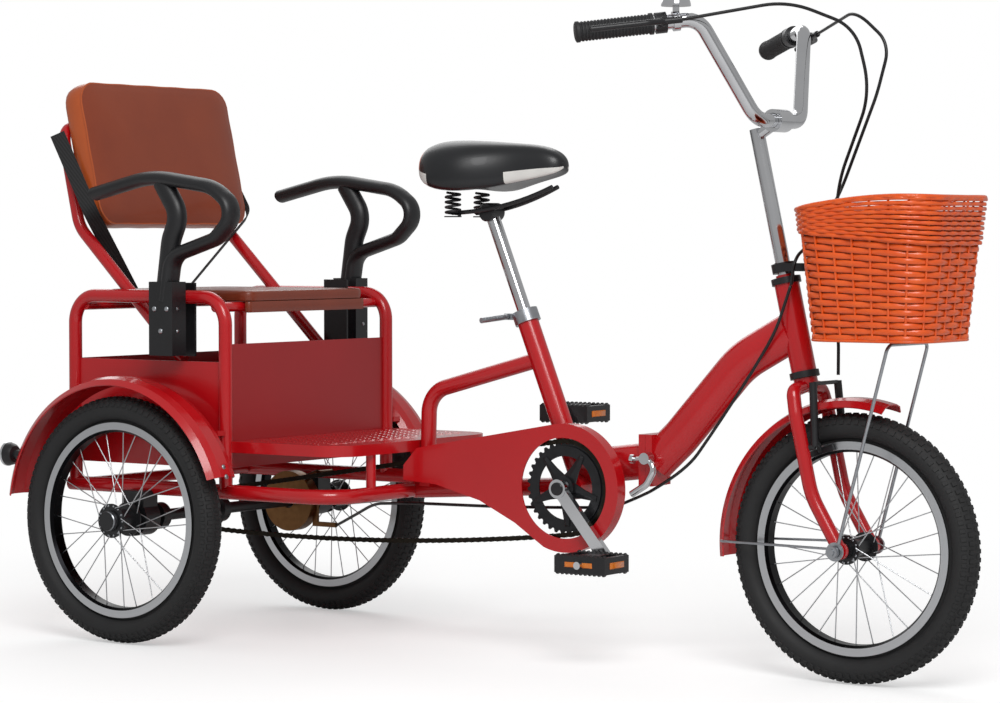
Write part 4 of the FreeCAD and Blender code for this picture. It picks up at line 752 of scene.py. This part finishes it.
def rim_z(x):
    """Height of the rim: low at the back, highest two thirds forward."""
    u = (x - basket_low.x) / (basket_high.x - basket_low.x)
    return basket_high.z - 19 * MM + 21 * MM * math.sin(math.pi * 0.62 * u)


def lip_foot_z(x):
    """Lower edge of the turned-down band, sloping down to the front."""
    u = (x - basket_low.x) / (basket_high.x - basket_low.x)
    return basket_low.z + (161 - 21 * u) * MM


def row_shape(height_at, row, tall, swing, grow, phase_len):
    """One flat cane going round the basket, in and out past the stakes."""
    points, faces = [], []
    flat = basket_outline(basket_mid.z, grow)
    for index in range(AROUND):
        spot = Vector((basket_mid.x, 0, 0)) + Vector((flat[index].x, flat[index].y, 0))
        z = height_at(spot.x)
        outline = basket_outline(z, grow)
        here, nxt = outline[index], outline[(index + 1) % AROUND]
        along_way = (nxt - here).normalized()
        normal = Vector((along_way.y, -along_way.x))
        wave = swing * math.cos(math.pi * index / phase_len + math.pi * (row % 2))
        middle = here + normal * wave
        for out, rise in ((-0.9, 0.0), (-0.5, 0.46), (0.5, 0.40), (1.0, 0.0), (0.5, -0.40), (-0.5, -0.46)):
            point = middle + normal * out * 1.3 * MM
            points.append(Vector((basket_mid.x + point.x, point.y, z + rise * tall)))
    for index in range(AROUND):
        nxt = (index + 1) % AROUND
        for step in range(6):
            after = (step + 1) % 6
            faces.append((index * 6 + step, nxt * 6 + step, nxt * 6 + after, index * 6 + after))
    return points, faces


weave = []
body_rows = 16
for row in range(body_rows):
    share = (row + 0.5) / body_rows
    weave.append(row_shape(
        lambda x, share=share: basket_low.z + 2 * MM + (lip_foot_z(x) + 6 * MM - basket_low.z) * share,
        row, BODY_ROW, 1.7 * MM, -1.5 * MM, 6))
lip_rows = 10
for row in range(lip_rows):
    share = (row + 0.5) / lip_rows
    weave.append(row_shape(lambda x, share=share: lip_foot_z(x) + (rim_z(x) - 2 * MM - lip_foot_z(x)) * share,
                           row, LIP_ROW, 1.2 * MM, 2.4 * MM, 3))
for stake in range(STAKES):
    index = stake * 6
    foot = basket_outline(basket_low.z, -1.5 * MM)[index]
    head = basket_outline(basket_high.z, -1.5 * MM)[index]
    weave.append(tube_shape([Vector((basket_mid.x + foot.x, foot.y, basket_low.z + 1.5 * MM)),
                             Vector((basket_mid.x + head.x, head.y, rim_z(basket_mid.x + head.x) - 3 * MM))],
                            1.9 * MM, 6))
for radius, z_of, grow in ((3.4 * MM, lambda x: rim_z(x) - 2.5 * MM, 1.0 * MM),
                           (2.2 * MM, lambda x: basket_low.z + 2.4 * MM, -0.6 * MM)):
    line = [Vector((basket_mid.x + p.x, p.y, 0)) for p in basket_outline(z_of(basket_mid.x), grow)]
    line = [Vector((p.x, p.y, z_of(p.x))) for p in line]
    weave.append(tube_shape(line + line[:2], radius, 8))
basket = made("woven_basket", *joined(weave), cane, "steered_fork", 60.0)
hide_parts("basket")
# Just inside the weave stands a plain sheet, closed at the bottom, in the darker cane colour: painted shade standing
# for the shaded inside of the basket seen through the weave.
painted_shade_sheet_points, painted_shade_sheet_faces = [], []
for z, grow in ((basket_low.z + 3 * MM, -3.6 * MM), (basket_high.z - 22 * MM, -3.4 * MM)):
    painted_shade_sheet_points += [Vector((basket_mid.x + p.x, p.y, z)) for p in basket_outline(z, grow)]
for index in range(AROUND):
    nxt = (index + 1) % AROUND
    painted_shade_sheet_faces.append((index, nxt, AROUND + nxt, AROUND + index))
painted_shade_sheet_faces.append(tuple(range(AROUND)))
painted_shade_sheet = made("basket_painted_shade_sheet", painted_shade_sheet_points, painted_shade_sheet_faces, painted_shade_cane, "steered_fork")

# ---- Rear lamps ----
# Round reflectors on the tails of the mudguards: a black plastic dome behind, a chrome ring, and a
# ribbed red acrylic lens facing back.
red_lens = surface("red acrylic lens", "#8c0610", "#b80c1a", 6.0, 3.0, 0.8, 0.6,
                   Roughness=0.10, Coat_Weight=0.8)
lamp_low, lamp_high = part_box("rear_reflectors")
lamp_z = (lamp_low.z + lamp_high.z) / 2.0
domes, hoops, lenses = [], [], []
for side in (-1, 1):
    back = Vector((lamp_low.x, side * REAR_WHEEL_Y, lamp_z))
    domes.append(turned([(-40 * MM, 0.0), (-40 * MM, 7.5 * MM), (-22 * MM, 8 * MM), (-20 * MM, 14 * MM),
                         (-14 * MM, 18 * MM), (-6 * MM, 19.4 * MM), (-4 * MM, 19.4 * MM)], back, (-1, 0, 0), 40))
    hoops.append(turned([(-6.5 * MM, 19.6 * MM), (-5.5 * MM, 20.2 * MM), (-2.5 * MM, 20.2 * MM), (-1.2 * MM, 18.8 * MM),
                         (-1.6 * MM, 17.2 * MM)], back, (-1, 0, 0), 40))
    lenses.append(turned([(-1.8 * MM, 17.6 * MM), (-0.8 * MM, 14 * MM), (-0.2 * MM, 8 * MM), (0.0, 0.0)], back,
                         (-1, 0, 0), 36))
lamp_backs = made("reflector_domes", *joined(domes), moulded, "rear_frame")
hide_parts("rear_reflectors")
made("reflector_rings", *joined(hoops), chrome, "rear_frame")
lamp_glass = made("reflector_lenses", *joined(lenses), red_lens, "rear_frame")

# ---- Band brake, straps and cables ----
# The drum is bronzed steel. The straps are woven polyester webbing with a twill about 2 mm across, and
# the brake cables are steel wire in smooth black PVC casing.
bronzed = surface("bronzed steel brake drum", "#5e4128", "#8a6440", 12.0, 1.0, 0.1, 0.25,
                  Metallic=1.0, Roughness=0.36)
coat(bronzed, "band_brake")
webbing, shader = finish_named("black polyester webbing", Roughness=0.75)
spot = add(webbing, "ShaderNodeTexCoord", {}, {}).outputs["Object"]
TWILL_MM = 2.0
twill = add(webbing, "ShaderNodeTexWave", {"bands_direction": "DIAGONAL"}, {
    "Vector": spot, "Scale": PER_MM / TWILL_MM / 6.28})
thread = add(webbing, "ShaderNodeMixRGB", {}, {
    "Fac": twill.outputs["Fac"], "Color1": linear("#0c0c0d"), "Color2": linear("#202022")})
ribs = add(webbing, "ShaderNodeBump", {}, {"Height": twill.outputs["Fac"], "Strength": 0.5, "Distance": 0.4 * MM})
feed(webbing, shader, Base_Color=thread.outputs["Color"], Normal=ribs.outputs["Normal"])
coat(webbing, "harness_straps")
casing = surface("black PVC cable casing", "#0d0d0e", "#18181a", 40.0, 1.0, 0.05, 0.1, Roughness=0.34)
coat(casing, "handlebar_cables")

# The rear cable bends where it leaves the steered part, and again at the frame's hinge.
for name, node, route, first, second, start, end in (
        ("frame_cable_casing", "frame_cable",
         [(1112.6, -34.2, 593), (1100, -32, 562), (1084, -29, 524), (1050, -27, 473), (1008, -25, 416), (965, -20, 362),
          (918, -14, 306), (852, -12, 271)], "steered_fork", "front_frame", 0, 2),
        ("rear_cable_casing", "rear_cable",
         [(851, -12, 270.5), (835, -13, 263), (815, -15.5, 254.5), (790, -18, 244), (740, -19, 241), (650, -20.5, 237),
          (560, -22, 234), (470, -20, 232.5), (392, -18, 231), (340, 3, 226), (290, 24, 222), (200, 92, 194),
          (97.5, 170, 164)], "front_frame", "rear_frame", 0, 4)):
    controls = [at(*point) for point in route]
    line = bpy.data.curves.new(name + "_line", "CURVE")
    line.dimensions = "3D"
    spline = line.splines.new("NURBS")
    spline.points.add(len(controls) - 1)
    for control, place in zip(spline.points, controls):
        control.co = (*place, 1.0)
    spline.order_u = 3
    spline.use_endpoint_u = True
    spline.resolution_u = 8
    carrier_curve = bpy.data.objects.new(name + "_line", line)
    sampled = bpy.data.meshes.new_from_object(carrier_curve)
    path = [vertex.co.copy() for vertex in sampled.vertices]
    bpy.data.objects.remove(carrier_curve)
    points, faces = tube_shape(path, 2.5 * MM, 10)
    mesh = bpy.data.meshes.new(name)
    mesh.from_pydata([tuple(point) for point in points], [], faces)
    mesh.shade_smooth()
    mesh.materials.append(casing)
    cable = bpy.data.objects.new(name, mesh)
    bpy.context.collection.objects.link(cable)
    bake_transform(cable)
    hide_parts(node)

# ---- Floor and light ----
# A plain pale studio floor and surround. A large soft lamp stands ahead on the right and a weaker one on
# the left. The floor keeps the object's soft shadow near it and runs out to plain white further off.
bpy.ops.mesh.primitive_plane_add(size=60.0, location=(0.0, 0.0, 0.0))
floor = bpy.context.object
floor.name = "studio_floor"
pale, shader = finish_named("pale studio floor", Roughness=0.95)
shader.inputs["Base Color"].default_value = linear("#dcdcdc")
seen = add(pale, "ShaderNodeLightPath", {}, {})
lift = add(pale, "ShaderNodeMapRange", {}, {"Value": seen.outputs["Is Camera Ray"], "To Max": 0.42})
glow = add(pale, "ShaderNodeEmission", {}, {"Strength": lift.outputs["Result"]})
near_floor = add(pale, "ShaderNodeAddShader", {}, {})
pale.node_tree.links.new(shader.outputs["BSDF"], near_floor.inputs[0])
pale.node_tree.links.new(glow.outputs["Emission"], near_floor.inputs[1])
spot = add(pale, "ShaderNodeTexCoord", {}, {})
distance = add(pale, "ShaderNodeVectorMath", {"operation": "LENGTH"}, {"Vector": spot.outputs["Object"]})
far_off = add(pale, "ShaderNodeMapRange", {"interpolation_type": "SMOOTHSTEP"}, {
    "Value": distance.outputs["Value"], "From Min": 1.1, "From Max": 2.2})
faded = add(pale, "ShaderNodeMath", {"operation": "MULTIPLY"}, {})
pale.node_tree.links.new(far_off.outputs["Result"], faded.inputs[0])
pale.node_tree.links.new(seen.outputs["Is Camera Ray"], faded.inputs[1])
white = add(pale, "ShaderNodeEmission", {}, {"Strength": 1.0})
whole = add(pale, "ShaderNodeMixShader", {}, {"Fac": faded.outputs["Value"]})
pale.node_tree.links.new(near_floor.outputs["Shader"], whole.inputs[1])
pale.node_tree.links.new(white.outputs["Emission"], whole.inputs[2])
pale.node_tree.links.new(whole.outputs["Shader"], pale.node_tree.nodes["Material Output"].inputs["Surface"])
floor.data.materials.append(pale)

world = bpy.data.worlds.new("studio")
bpy.context.scene.world = world
world.use_nodes = True
background = world.node_tree.nodes["Background"]
background.inputs["Color"].default_value = (1.0, 1.0, 1.0, 1.0)
ray = world.node_tree.nodes.new("ShaderNodeLightPath")
level = world.node_tree.nodes.new("ShaderNodeMapRange")
level.inputs["To Min"].default_value = 0.45
level.inputs["To Max"].default_value = 1.0
world.node_tree.links.new(ray.outputs["Is Camera Ray"], level.inputs["Value"])
world.node_tree.links.new(level.outputs["Result"], background.inputs["Strength"])

for name, place, size, power in (("key", (2.4, -2.8, 3.4), 2.2, 120.0), ("fill", (-2.6, 2.6, 3.0), 3.0, 45.0)):
    lamp = bpy.data.objects.new(name, bpy.data.lights.new(name, "AREA"))
    lamp.data.size = size
    lamp.data.energy = power
    lamp.location = place
    lamp.rotation_euler = (Vector((0.0, 0.0, 0.4)) - Vector(place)).to_track_quat("-Z", "Y").to_euler()
    bpy.context.collection.objects.link(lamp)
